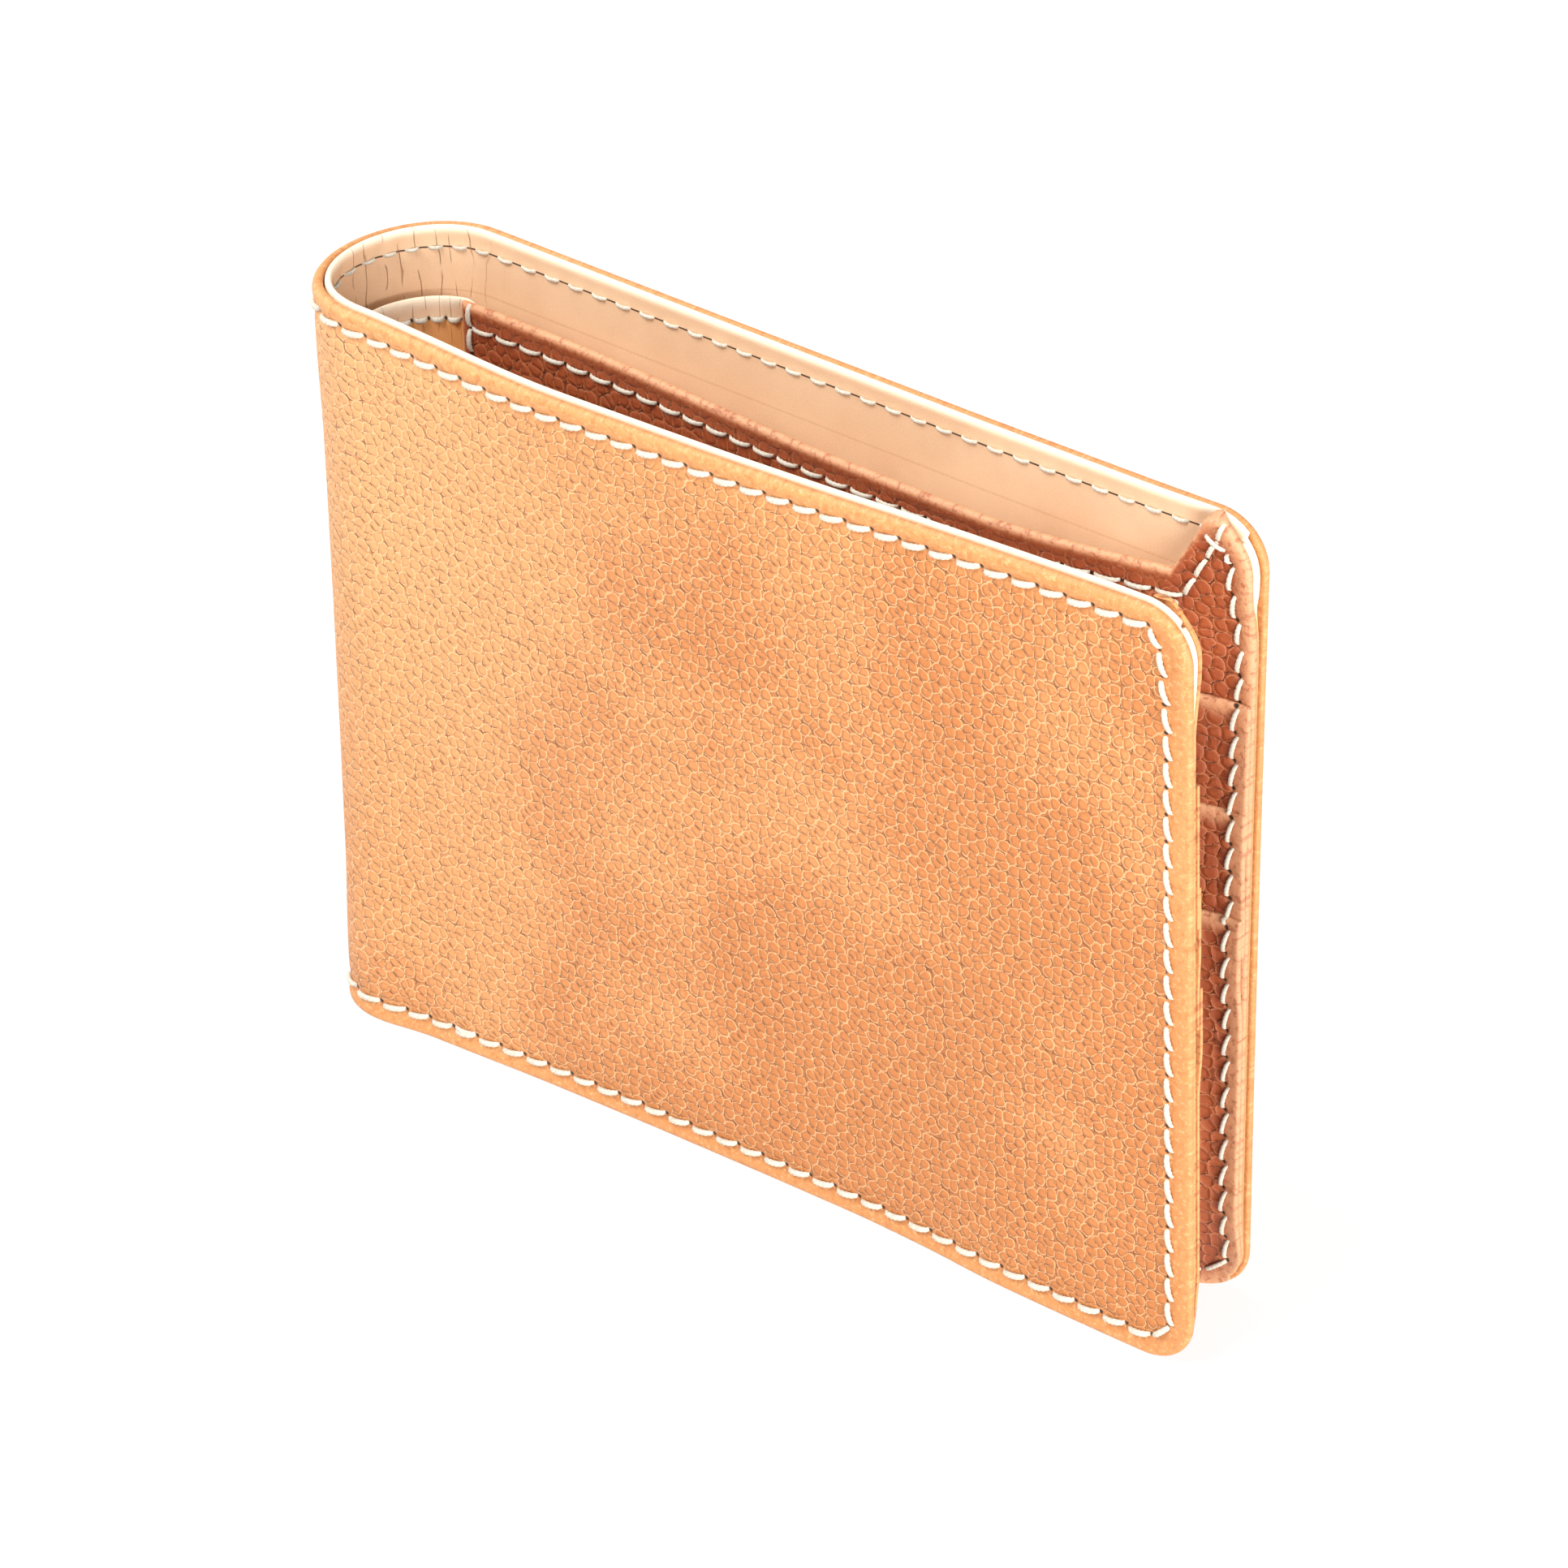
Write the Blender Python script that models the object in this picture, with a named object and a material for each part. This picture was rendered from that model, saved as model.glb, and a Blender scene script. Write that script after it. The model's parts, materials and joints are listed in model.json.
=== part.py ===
"""Bifold leather wallet, standing on its long edge and slightly ajar.

Every piece of leather, lining and thread lies on one folded path. A place on the wallet is (s, z, depth).
s runs along the outside of the cover from the front free end (negative), round the spine (s = 0 is its middle)
to the back free end (positive). z is the height. depth is measured inwards from the outside of the cover.
The origin is the bottom centre of the whole wallet: +X from the spine to the free ends, -Y the front, +Z up.
"""

import math

import bmesh
import bpy

MM = 0.001

# Driving dimensions of the folded wallet
HEIGHT = 86.0 * MM
SPINE_RADIUS = 9.6 * MM
HALF_ANGLE_TO_CLOSE = math.radians(2.3)  # the back half leans this far towards the front one
FRONT_LENGTH = 96.2 * MM  # straight run of the front half, spine to free end
BACK_LENGTH = 92.7 * MM
CORNER_RADIUS = 5.5 * MM

# Leather, lining and thread
COVER_THICKNESS = 0.8 * MM
LINER_THICKNESS = 0.7 * MM
DIVIDER_THICKNESS = 0.6 * MM
PANEL_THICKNESS = 0.6 * MM
LEAF_THICKNESS = 0.45 * MM
LINING_THICKNESS = 0.3 * MM
THREAD_WIDTH = 0.5 * MM
THREAD_THICKNESS = 0.25 * MM
THREAD_LIFT = 0.1 * MM
LAYER_GAP = 0.15 * MM
LEAF_GAP = 0.3 * MM  # room for a pocket leaf to open past the leaf in front of it

# Edges, seams and pockets
SEAM_INSET = 3.3 * MM
EDGE_STEP = 0.4 * MM  # inner layers stop this far inside the cover's turned edge
DIVIDER_DROP = 7.0 * MM  # the compartment's inner wall is this much lower than the cover
STEP_START = 8.5 * MM  # from the free end, where the inner wall starts to rise to full height
STEP_END = 4.2 * MM
PANEL_SEAM_INSET = 2.0 * MM
POCKET_COUNT = 3
FIRST_POCKET_TOP = 68.0 * MM
POCKET_PITCH = 11.5 * MM
POCKET_TUCK = 5.5 * MM  # height of a leaf hidden behind the next one
POCKET_FLOOR = 5.0 * MM
LINING_FLOOR = 8.0 * MM

# The bill compartment gapes: its inner wall bellies away from the liner
BELLY_AT_SPINE = 1.4 * MM
BELLY_AT_BACK = 2.4 * MM
BELLY_MOST = 5.0 * MM
BELLY_RISE = (10.0 * MM, 60.0 * MM)  # distances past the spine over which the belly grows
BELLY_FALL = (63.0 * MM, 88.0 * MM)  # and over which it closes towards the free end
BELLY_SHAPE = 0.75  # how soon the belly opens above the bottom seam

# How finely the sheets are divided
BELLY_ROWS = 7
SPINE_STEPS = 30
RISE_STEPS = 9
FALL_STEPS = 8
FRONT_STEPS = 8
CORNER_STEPS = 5
SEAM_STEPS = 7  # points up an upright line of stitches
NEAREST_STATIONS = 0.2 * MM
ROW_BIAS = 1.6  # rows of a sheet lie closer together towards the bottom, where the belly bends most
SHARP_ANGLE = math.radians(30)

# Fold: three hinges on the outside of the spine, evenly spaced
HINGE_COUNT = 3
SEGMENT_GAP = 0.3 * MM

SPINE_ANGLE = math.pi + HALF_ANGLE_TO_CLOSE
SPINE_ARC = SPINE_RADIUS * SPINE_ANGLE
SPINE_END = SPINE_ARC / 2
BACK_ANGLE = math.pi / 2 - HALF_ANGLE_TO_CLOSE
MIDDLE_ANGLE = BACK_ANGLE + SPINE_ANGLE / 2
FRONT_END = SPINE_END + FRONT_LENGTH
BACK_END = SPINE_END + BACK_LENGTH
MATERIAL_SHIFT = (FRONT_LENGTH - BACK_LENGTH) / 2  # the leather's own middle lies this far past s = 0
BELLY_TURN = -SPINE_END / 3  # s where the belly starts to close on the front half
BELLY_FRONT_END = BELLY_TURN - 2 * SPINE_END  # and where it is closed
HINGE_PLACES = [SPINE_END - SPINE_ARC * (2 * i + 1) / (2 * HINGE_COUNT) for i in range(HINGE_COUNT)]

LINER_DEPTH = COVER_THICKNESS + LAYER_GAP
LINER_INNER = LINER_DEPTH + LINER_THICKNESS
DIVIDER_DEPTH = LINER_INNER + LAYER_GAP
PANEL_DEPTH = DIVIDER_DEPTH + DIVIDER_THICKNESS + LAYER_GAP
PANEL_INNER = PANEL_DEPTH + PANEL_THICKNESS
LEAF_DEPTHS = [PANEL_INNER + LAYER_GAP + i * (LEAF_THICKNESS + LEAF_GAP) for i in range(POCKET_COUNT)]
THREAD_STAND = THREAD_LIFT + THREAD_THICKNESS

# Centre of the spine's circle, placed so that the whole wallet's box is centred on the origin
SPINE_X = -(SPINE_RADIUS + THREAD_STAND + FRONT_LENGTH) / 2 + SPINE_RADIUS + THREAD_STAND
SPINE_Y = 0.0

SIDES = {"front": -1, "back": 1}


def smooth_step(value):
    """0 to 1 with level ends."""
    value = min(max(value, 0.0), 1.0)
    return value * value * (3 - 2 * value)


def place(s, z, depth):
    """The point at (s, z, depth), in metres."""
    if s >= SPINE_END:
        angle, run = BACK_ANGLE, s - SPINE_END
    elif s <= -SPINE_END:
        angle, run = 1.5 * math.pi, s + SPINE_END
    else:
        angle, run = MIDDLE_ANGLE - s / SPINE_RADIUS, 0.0
    reach = SPINE_RADIUS - depth
    x = SPINE_X + reach * math.cos(angle) + run * math.sin(angle)
    y = SPINE_Y + reach * math.sin(angle) - run * math.cos(angle)
    return x, y, z


def free_end(s):
    """Distance of s from its half's free end."""
    return BACK_END - s if s > 0 else FRONT_END + s


def belly(s, z):
    """How far the compartment's inner wall stands away from the liner at (s, z)."""
    past_spine = s - SPINE_END
    if past_spine > 0:
        grown = smooth_step((past_spine - BELLY_RISE[0]) / (BELLY_RISE[1] - BELLY_RISE[0]))
        closed = smooth_step((past_spine - BELLY_FALL[0]) / (BELLY_FALL[1] - BELLY_FALL[0]))
        width = (BELLY_AT_BACK + (BELLY_MOST - BELLY_AT_BACK) * grown) * (1 - closed)
    elif s > BELLY_TURN:
        grown = smooth_step((s - BELLY_TURN) / (SPINE_END - BELLY_TURN))
        width = BELLY_AT_SPINE + (BELLY_AT_BACK - BELLY_AT_SPINE) * grown
    else:
        closed = smooth_step((BELLY_TURN - s) / (BELLY_TURN - BELLY_FRONT_END))
        width = BELLY_AT_SPINE * (1 - closed)
    share = (z - SEAM_INSET) / (HEIGHT - DIVIDER_DROP - SEAM_INSET)
    return width * min(max(share, 0.0), 1.0) ** BELLY_SHAPE


def corner_cut(s, inset):
    """How much lower the rounded corner is at s than the sheet's straight top edge."""
    inside = free_end(s) - inset
    radius = CORNER_RADIUS - inset
    if inside >= radius:
        return 0.0
    across = radius - max(inside, 0.0)
    return radius - math.sqrt(radius * radius - across * across)


def full_low(inset):
    return lambda s: inset + corner_cut(s, inset)


def full_high(inset):
    return lambda s: HEIGHT - inset - corner_cut(s, inset)


def stepped_high(s):
    """Top of the compartment's inner wall, which rises to the full height next to the free end."""
    rise = (STEP_START - free_end(s)) / (STEP_START - STEP_END)
    top = HEIGHT - DIVIDER_DROP + DIVIDER_DROP * min(max(rise, 0.0), 1.0)
    return min(top, full_high(EDGE_STEP)(s))


def level(height):
    return lambda s: height


def evenly(start, end, steps):
    return [start + (end - start) * i / steps for i in range(steps + 1)]


def stations(start, end):
    """Values of s from start to end, dense enough for the spine, the belly and the rounded corners."""
    marks = evenly(-SPINE_END, SPINE_END, SPINE_STEPS)
    marks += evenly(SPINE_END, SPINE_END + BELLY_FALL[0], RISE_STEPS)
    marks += evenly(SPINE_END + BELLY_FALL[0], SPINE_END + BELLY_FALL[1], FALL_STEPS)
    marks += evenly(BELLY_FRONT_END, -SPINE_END, FRONT_STEPS)
    for end_of_half, sign in ((BACK_END, 1), (FRONT_END, -1)):
        marks += [sign * (end_of_half - STEP_START), sign * (end_of_half - STEP_END)]
        for i in range(CORNER_STEPS):
            turned = math.pi / 2 * i / CORNER_STEPS
            marks.append(sign * (end_of_half - CORNER_RADIUS * (1 - math.sin(turned))))
    kept = [start]
    for mark in sorted(marks):
        if kept[-1] + NEAREST_STATIONS < mark < end - NEAREST_STATIONS:
            kept.append(mark)
    return kept + [end]


def material(name, color, roughness):
    made = bpy.data.materials.new(name)
    made.use_nodes = True
    shader = made.node_tree.nodes["Principled BSDF"]
    shader.inputs["Base Color"].default_value = (*color, 1.0)
    shader.inputs["Roughness"].default_value = roughness
    return made


def add_solid(name, rings, add_cap, finish):
    """One closed solid from rings of points; neighbouring rings are joined, the first and last are capped."""
    mesh = bmesh.new()
    rows = [[mesh.verts.new(point) for point in ring] for ring in rings]
    count = len(rows[0])
    for one, two in zip(rows, rows[1:]):
        for i in range(count):
            j = (i + 1) % count
            mesh.faces.new((one[i], one[j], two[j], two[i]))
    for cap in (rows[0], rows[-1]):
        add_cap(mesh, cap)
    bmesh.ops.recalc_face_normals(mesh, faces=mesh.faces)
    data = bpy.data.meshes.new(name)
    mesh.to_mesh(data)
    mesh.free()
    data.shade_smooth()
    data.set_sharp_from_angle(angle=SHARP_ANGLE)
    data.materials.append(finish)
    made = bpy.data.objects.new(name, data)
    bpy.context.scene.collection.objects.link(made)
    return made


def plain_cap(mesh, ring):
    mesh.faces.new(ring)


def ladder_cap(mesh, ring):
    """Caps a ring of two facing columns with quads, bottom to top."""
    rows = len(ring) // 2
    for i in range(rows - 1):
        mesh.faces.new((ring[i], ring[i + 1], ring[-2 - i], ring[-1 - i]))


def sheet(name, start, end, low, high, depth, thickness, finish, rows=1):
    """A sheet from s = start to end and z = low(s) to high(s); depth(s, z) is its outer face."""
    rings = []
    for s in stations(start, end):
        heights = [low(s) + (high(s) - low(s)) * (i / rows) ** ROW_BIAS for i in range(rows + 1)]
        outer = [place(s, z, depth(s, z)) for z in heights]
        inner = [place(s, z, depth(s, z) + thickness) for z in heights]
        rings.append(outer + inner[::-1])
    return add_solid(name, rings, ladder_cap, finish)


def thread(name, route, depth, finish):
    """A line of stitches as one flat ribbon along route, a list of (s, z); depth(s, z) is its outer face."""
    rings = []
    for i, (s, z) in enumerate(route):
        before, after = route[max(i - 1, 0)], route[min(i + 1, len(route) - 1)]
        along = math.hypot(after[0] - before[0], after[1] - before[1])
        across = (-(after[1] - before[1]) / along, (after[0] - before[0]) / along)
        reach = (across[0] * THREAD_WIDTH / 2, across[1] * THREAD_WIDTH / 2)
        sides = [(s + reach[0] * side, z + reach[1] * side) for side in (-1, 1)]
        outer = [place(a, b, depth(a, b)) for a, b in sides]
        inner = [place(a, b, depth(a, b) + THREAD_THICKNESS) for a, b in sides]
        rings.append(outer + inner[::-1])
    return add_solid(name, rings, plain_cap, finish)


def straight(height, start, end):
    """A level seam from s = start to end."""
    return [(s, height) for s in stations(start, end)]


def edge_route(side, start):
    """The perimeter seam of one half: along the bottom, from a distance start from s = 0, then up the end."""
    sign = SIDES[side]
    end = (BACK_END if side == "back" else FRONT_END) - SEAM_INSET
    turn = CORNER_RADIUS - SEAM_INSET
    low, high = SEAM_INSET + turn, HEIGHT - SEAM_INSET - THREAD_WIDTH * 2
    first, last = sorted((sign * start, sign * (end - turn)))
    bottom = straight(SEAM_INSET, first, last)[::sign]
    corner = [
        (sign * (end - turn + turn * math.sin(a)), low - turn * math.cos(a))
        for a in (math.pi / 6, math.pi / 3)
    ]
    up = [(sign * end, z) for z in evenly(low, high, SEAM_STEPS)]
    return bottom + corner + up


def spans():
    """(name, start, end) of the pieces that a layer is divided into, where it bends at the fold hinges."""
    gap = SEGMENT_GAP / 2
    return [
        ("back", HINGE_PLACES[0] + gap, BACK_END),
        ("spine_1", HINGE_PLACES[1] + gap, HINGE_PLACES[0] - gap),
        ("spine_2", HINGE_PLACES[2] + gap, HINGE_PLACES[1] - gap),
        ("front", -FRONT_END, HINGE_PLACES[2] - gap),
    ]


def inset_span(start, end, inset):
    """The span with its free end, if it has one, pulled in by inset."""
    if end == BACK_END:
        end -= inset
    if start == -FRONT_END:
        start += inset
    return start, end


def flat_depth(base):
    """A depth that is the same all over."""
    return lambda s, z: base


def wall_depth(base):
    """A depth that follows the belly of the compartment's inner wall."""
    return lambda s, z: base + belly(s, z)


def build_cover(finish):
    for name, start, end in spans():
        low, high = full_low(0.0), full_high(0.0)
        sheet(f"cover_{name}", start, end, low, high, flat_depth(0.0), COVER_THICKNESS, finish)


def build_liner(finish):
    for name, start, end in spans():
        start, end = inset_span(start, end, EDGE_STEP)
        sheet(
            f"liner_{name}",
            start,
            end,
            full_low(EDGE_STEP),
            full_high(EDGE_STEP),
            flat_depth(LINER_DEPTH),
            LINER_THICKNESS,
            finish,
        )


def build_divider(finish):
    for name, start, end in spans():
        start, end = inset_span(start, end, EDGE_STEP)
        sheet(
            f"divider_{name}",
            start,
            end,
            full_low(EDGE_STEP),
            stepped_high,
            wall_depth(DIVIDER_DEPTH),
            DIVIDER_THICKNESS,
            finish,
            rows=BELLY_ROWS,
        )


def panel_span(side):
    """Distances from s = 0 of the card panel's inner edge and of its free edge."""
    shift = 2 * MATERIAL_SHIFT if side == "front" else 0.0
    end = FRONT_END if side == "front" else BACK_END
    return SPINE_END + shift, end - EDGE_STEP


def half_sheet(name, side, near, far, low, high, depth, thickness, finish, rows):
    """A sheet on one half, near and far being distances from s = 0."""
    start, end = (near, far) if side == "back" else (-far, -near)
    return sheet(name, start, end, low, high, depth, thickness, finish, rows)


def build_card_side(side, leather, lining):
    """The card panel of one half, its pocket leaves and the lining tongues that hang behind them."""
    near, far = panel_span(side)
    half_sheet(
        f"card_panel_{side}",
        side,
        near,
        far,
        full_low(EDGE_STEP),
        stepped_high,
        wall_depth(PANEL_DEPTH),
        PANEL_THICKNESS,
        leather,
        rows=BELLY_ROWS if side == "back" else 1,
    )
    near += PANEL_SEAM_INSET + THREAD_WIDTH
    far += EDGE_STEP - SEAM_INSET - THREAD_WIDTH
    for i in range(POCKET_COUNT):
        top = FIRST_POCKET_TOP - i * POCKET_PITCH
        last = i == POCKET_COUNT - 1
        bottom = POCKET_FLOOR if last else top - POCKET_PITCH - POCKET_TUCK
        depth = wall_depth(LEAF_DEPTHS[i])
        rows = 1
        if side == "back":
            rows = BELLY_ROWS // 2 + 1 if last else 2
        name = f"pocket_leaf_{side}_{i + 1}"
        half_sheet(name, side, near, far, level(bottom), level(top), depth, LEAF_THICKNESS, leather, rows)
        if not last:
            name = f"pocket_lining_{side}_{i + 1}"
            rows = BELLY_ROWS // 2 + 1 if side == "back" else 1
            high = level(bottom - LAYER_GAP)
            low = level(LINING_FLOOR)
            half_sheet(name, side, near, far, low, high, depth, LINING_THICKNESS, lining, rows)


def build_wall_threads(finish):
    """The hem seam along the top and the perimeter seam, as they show on the cover and on the liner."""
    on_cover = flat_depth(-THREAD_STAND)
    in_liner = flat_depth(LINER_INNER + THREAD_LIFT)
    hem = HEIGHT - SEAM_INSET
    margin = SEAM_INSET + THREAD_WIDTH * 2
    for name, start, end in spans():
        first, last = inset_span(start, end, margin)
        thread(f"hem_thread_outer_{name}", straight(hem, first, last), on_cover, finish)
        first, last = inset_span(start, end, STEP_START)
        thread(f"hem_thread_inner_{name}", straight(hem, first, last), in_liner, finish)
        if name in SIDES:
            route = edge_route(name, min(abs(start), abs(end)))
        else:
            route = straight(SEAM_INSET, start, end)
        thread(f"edge_thread_outer_{name}", route, on_cover, finish)


def build_card_threads(finish):
    """Stitches on the card side: round each half, along the panel's top and down its inner edge."""
    in_divider = wall_depth(DIVIDER_DEPTH + DIVIDER_THICKNESS + THREAD_LIFT)
    on_panel = wall_depth(PANEL_INNER + THREAD_LIFT)
    panel_hem = HEIGHT - DIVIDER_DROP - SEAM_INSET
    for name, start, end in spans():
        if name in SIDES:
            continue
        thread(f"edge_thread_inner_{name}", straight(SEAM_INSET, start, end), in_divider, finish)
        thread(f"strip_thread_{name}", straight(panel_hem, start, end), in_divider, finish)
    for side, sign in SIDES.items():
        near, far = panel_span(side)
        seam = near + PANEL_SEAM_INSET
        thread(f"edge_thread_inner_{side}", edge_route(side, seam + THREAD_WIDTH * 2), on_panel, finish)
        first, last = sorted((sign * (seam + THREAD_WIDTH * 2), sign * (far - SEAM_INSET - THREAD_WIDTH * 2)))
        thread(f"panel_hem_thread_{side}", straight(panel_hem, first, last), on_panel, finish)
        route = [(sign * seam, z) for z in evenly(SEAM_INSET, panel_hem, SEAM_STEPS)]
        thread(f"panel_seam_thread_{side}", route, on_panel, finish)


def clear_scene():
    for item in list(bpy.data.objects):
        bpy.data.objects.remove(item)


def build():
    clear_scene()
    cover_leather = material("cover_leather", (0.80, 0.40, 0.17), 0.5)
    liner_leather = material("liner_leather", (0.86, 0.60, 0.40), 0.6)
    card_leather = material("card_leather", (0.50, 0.19, 0.09), 0.5)
    pocket_lining = material("pocket_lining", (0.30, 0.17, 0.09), 0.8)
    waxed_thread = material("waxed_thread", (0.88, 0.83, 0.72), 0.6)
    build_cover(cover_leather)
    build_liner(liner_leather)
    build_divider(liner_leather)
    for side in SIDES:
        build_card_side(side, card_leather, pocket_lining)
    build_wall_threads(waxed_thread)
    build_card_threads(waxed_thread)


build()
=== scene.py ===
"""Bifold wallet: the visible leather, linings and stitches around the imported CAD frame, in metres.

A place on the wallet is (s, z, depth): s runs along the outside of the cover from the front free end
(negative), round the spine (s = 0 is its middle) to the back free end (positive), z is the height, and depth
is measured inwards from the outside of the cover. place() turns it into a point. The walls of the real wallet
bow and lean a little, so place() also moves each whole stack of layers out or in, by stance().
"""

import math

import bmesh
import bpy
import numpy as np
from mathutils import Matrix, Vector
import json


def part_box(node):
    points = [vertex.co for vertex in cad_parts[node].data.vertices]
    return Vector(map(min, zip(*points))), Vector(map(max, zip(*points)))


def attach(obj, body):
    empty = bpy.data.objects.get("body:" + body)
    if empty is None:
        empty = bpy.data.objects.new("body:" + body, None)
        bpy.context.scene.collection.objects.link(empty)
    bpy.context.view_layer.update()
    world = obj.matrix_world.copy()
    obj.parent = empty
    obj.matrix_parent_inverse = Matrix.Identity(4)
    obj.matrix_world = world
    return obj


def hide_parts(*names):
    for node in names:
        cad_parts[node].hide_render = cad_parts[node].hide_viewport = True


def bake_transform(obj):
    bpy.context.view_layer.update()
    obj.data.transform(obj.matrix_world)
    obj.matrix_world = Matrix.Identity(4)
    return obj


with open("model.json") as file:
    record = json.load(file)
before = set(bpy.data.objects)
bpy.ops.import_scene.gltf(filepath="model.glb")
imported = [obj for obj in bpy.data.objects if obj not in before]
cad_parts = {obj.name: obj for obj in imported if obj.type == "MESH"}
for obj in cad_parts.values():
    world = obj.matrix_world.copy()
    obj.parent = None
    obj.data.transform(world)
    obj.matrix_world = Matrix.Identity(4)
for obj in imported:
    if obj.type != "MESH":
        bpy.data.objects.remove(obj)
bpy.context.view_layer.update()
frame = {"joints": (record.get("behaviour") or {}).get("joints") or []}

MM = 0.001
UV_UNIT = 0.1  # metres of leather to one unit of its UV map

# Sizes, from the frame


def circle_through(a, b, c):
    """Centre and radius of the circle through three points of the plane."""
    centre = np.linalg.solve(2 * np.array([b - a, c - a]), [b @ b - a @ a, c @ c - a @ a])
    return centre, np.linalg.norm(a - centre)


HINGES = [np.array(joint["pos_m"][:2]) for joint in frame["joints"] if joint["name"].startswith("fold_")]
CENTRE, SPINE_RADIUS = circle_through(*HINGES)
MIDDLE_ANGLE = math.atan2(HINGES[1][1] - CENTRE[1], HINGES[1][0] - CENTRE[0])
HINGE_STEP = 2 * math.asin(np.linalg.norm(HINGES[1] - HINGES[0]) / (2 * SPINE_RADIUS))
SPINE_ANGLE = len(HINGES) * HINGE_STEP
SPINE_END = SPINE_RADIUS * SPINE_ANGLE / 2
SEGMENT_END = SPINE_RADIUS * HINGE_STEP / 2
BACK_ANGLE = MIDDLE_ANGLE - SPINE_ANGLE / 2

FRONT_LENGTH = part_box("cover_front")[1].x - CENTRE[0]
BACK_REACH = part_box("cover_back")[1].x - CENTRE[0]
BACK_LENGTH = (BACK_REACH - SPINE_RADIUS * math.cos(BACK_ANGLE)) / math.sin(BACK_ANGLE)
FRONT_END = SPINE_END + FRONT_LENGTH
BACK_END = SPINE_END + BACK_LENGTH
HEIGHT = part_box("cover_front")[1].z
SIDES = {"front": -1, "back": 1}
ENDS = {"front": FRONT_END, "back": BACK_END}
MIDDLES = {"front": SPINE_END + FRONT_LENGTH / 2, "back": SPINE_END + BACK_LENGTH / 2}


def depth_of(node):
    """How deep the outer face of a front layer lies inside the outside of the cover."""
    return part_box(node)[0].y - CENTRE[1] + SPINE_RADIUS


LAYER_GAP = 0.15 * MM
LINER_DEPTH = depth_of("liner_front")
DIVIDER_DEPTH = depth_of("divider_front")
PANEL_DEPTH = depth_of("card_panel_front")
LEAF_DEPTH = depth_of("pocket_leaf_front_1")
COVER_THICKNESS = LINER_DEPTH - LAYER_GAP
LINER_THICKNESS = DIVIDER_DEPTH - LINER_DEPTH - LAYER_GAP
DIVIDER_THICKNESS = PANEL_DEPTH - DIVIDER_DEPTH - LAYER_GAP
PANEL_THICKNESS = LEAF_DEPTH - PANEL_DEPTH - LAYER_GAP
LEAF_THICKNESS = 0.45 * MM
LEAF_STEP = depth_of("pocket_leaf_front_2") - LEAF_DEPTH
LINING_THICKNESS = 0.3 * MM
POCKETS = (1, 2, 3)
LEAF_DROP = 1.0 * MM  # how much lower the leaves' tops are than in the frame
PANEL_RISE = 0.5 * MM  # and how much higher the panels' tops are
PANEL_OVER_SPINE = 1.2 * MM  # how far the back panel reaches over the spine
LEAF_TOPS = [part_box(f"pocket_leaf_back_{i}")[1].z - LEAF_DROP for i in POCKETS]
LEAF_BOTTOMS = [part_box(f"pocket_leaf_back_{i}")[0].z for i in POCKETS]
PANEL_NEAR = {
    "back": SPINE_END - PANEL_OVER_SPINE,
    "front": SPINE_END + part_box("card_panel_front")[0].x - CENTRE[0],
}
PANEL_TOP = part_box("divider_spine_1")[1].z + PANEL_RISE

SEAM_INSET = 2.1 * MM  # of the hem seam
PANEL_HEM_INSET = 2.4 * MM
COLUMN_INSET = 2.4 * MM  # of the cover's stitches up the free ends
FOOT_INSET = 2.5 * MM
CARD_INSET = 1.9 * MM  # of the same seam where it shows on the card side
HEM = HEIGHT - SEAM_INSET
PANEL_HEM = PANEL_TOP - PANEL_HEM_INSET
PANEL_SEAM_INSET = 1.6 * MM
CORNER_RADIUS = 5.5 * MM
EDGE_STEP = 0.4 * MM
FOOT_GAP = 0.1 * MM
STEP_START = 8.5 * MM  # from the free end, where the panel's top starts to rise to full height
STEP_END = 5.3 * MM
STEP_BLEND = 16.0 * MM  # height over which the panel's rows are stretched up into the step
SUNK = 0.6 * MM  # how far the inner wall stays below the top of the panel that covers it
TIP_AT = 4.1 * MM  # from the free end, where the panel's tip is folded over the liner's edge
TIP = 0.9 * MM
TIP_WIDTH = 1.7 * MM

# Stitches
PITCH_WANTED = 3.0 * MM
SEAM_START = -24.0 * MM  # where one stitch of the bottom seam is doubled
CHAMFER = 2.1 * MM  # a seam cuts its corner with one diagonal stitch
THREAD_RADIUS = 0.33 * MM
UPRIGHT_LEAN = 0.7 * MM  # how far a seam up a free end leans inwards at its top
LEAN_FROM = 11 * MM  # below the hem seam, and the height over which it leans
LEAN_OVER = 9 * MM
STEP_SEAM = (7.3 * MM, 4.0 * MM)  # how far the foot and the top of the step's seam are from the free end
CROSSING = ((-1.5, 0.4), (1.0, -1.0))  # in mm from its top, the stitch of the edge seam that crosses it


# Places on the wallet


def smooth(value):
    """0 to 1 with level ends."""
    value = np.clip(value, 0.0, 1.0)
    return value * value * (3 - 2 * value)


def hill(value, middle, width):
    """1 at the middle, fading to 0 a few widths away."""
    return np.exp(-(((value - middle) / width) ** 2))


def free_end(s):
    """Distance of s from its half's free end."""
    return np.where(s > 0, BACK_END - s, FRONT_END + s)


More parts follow.
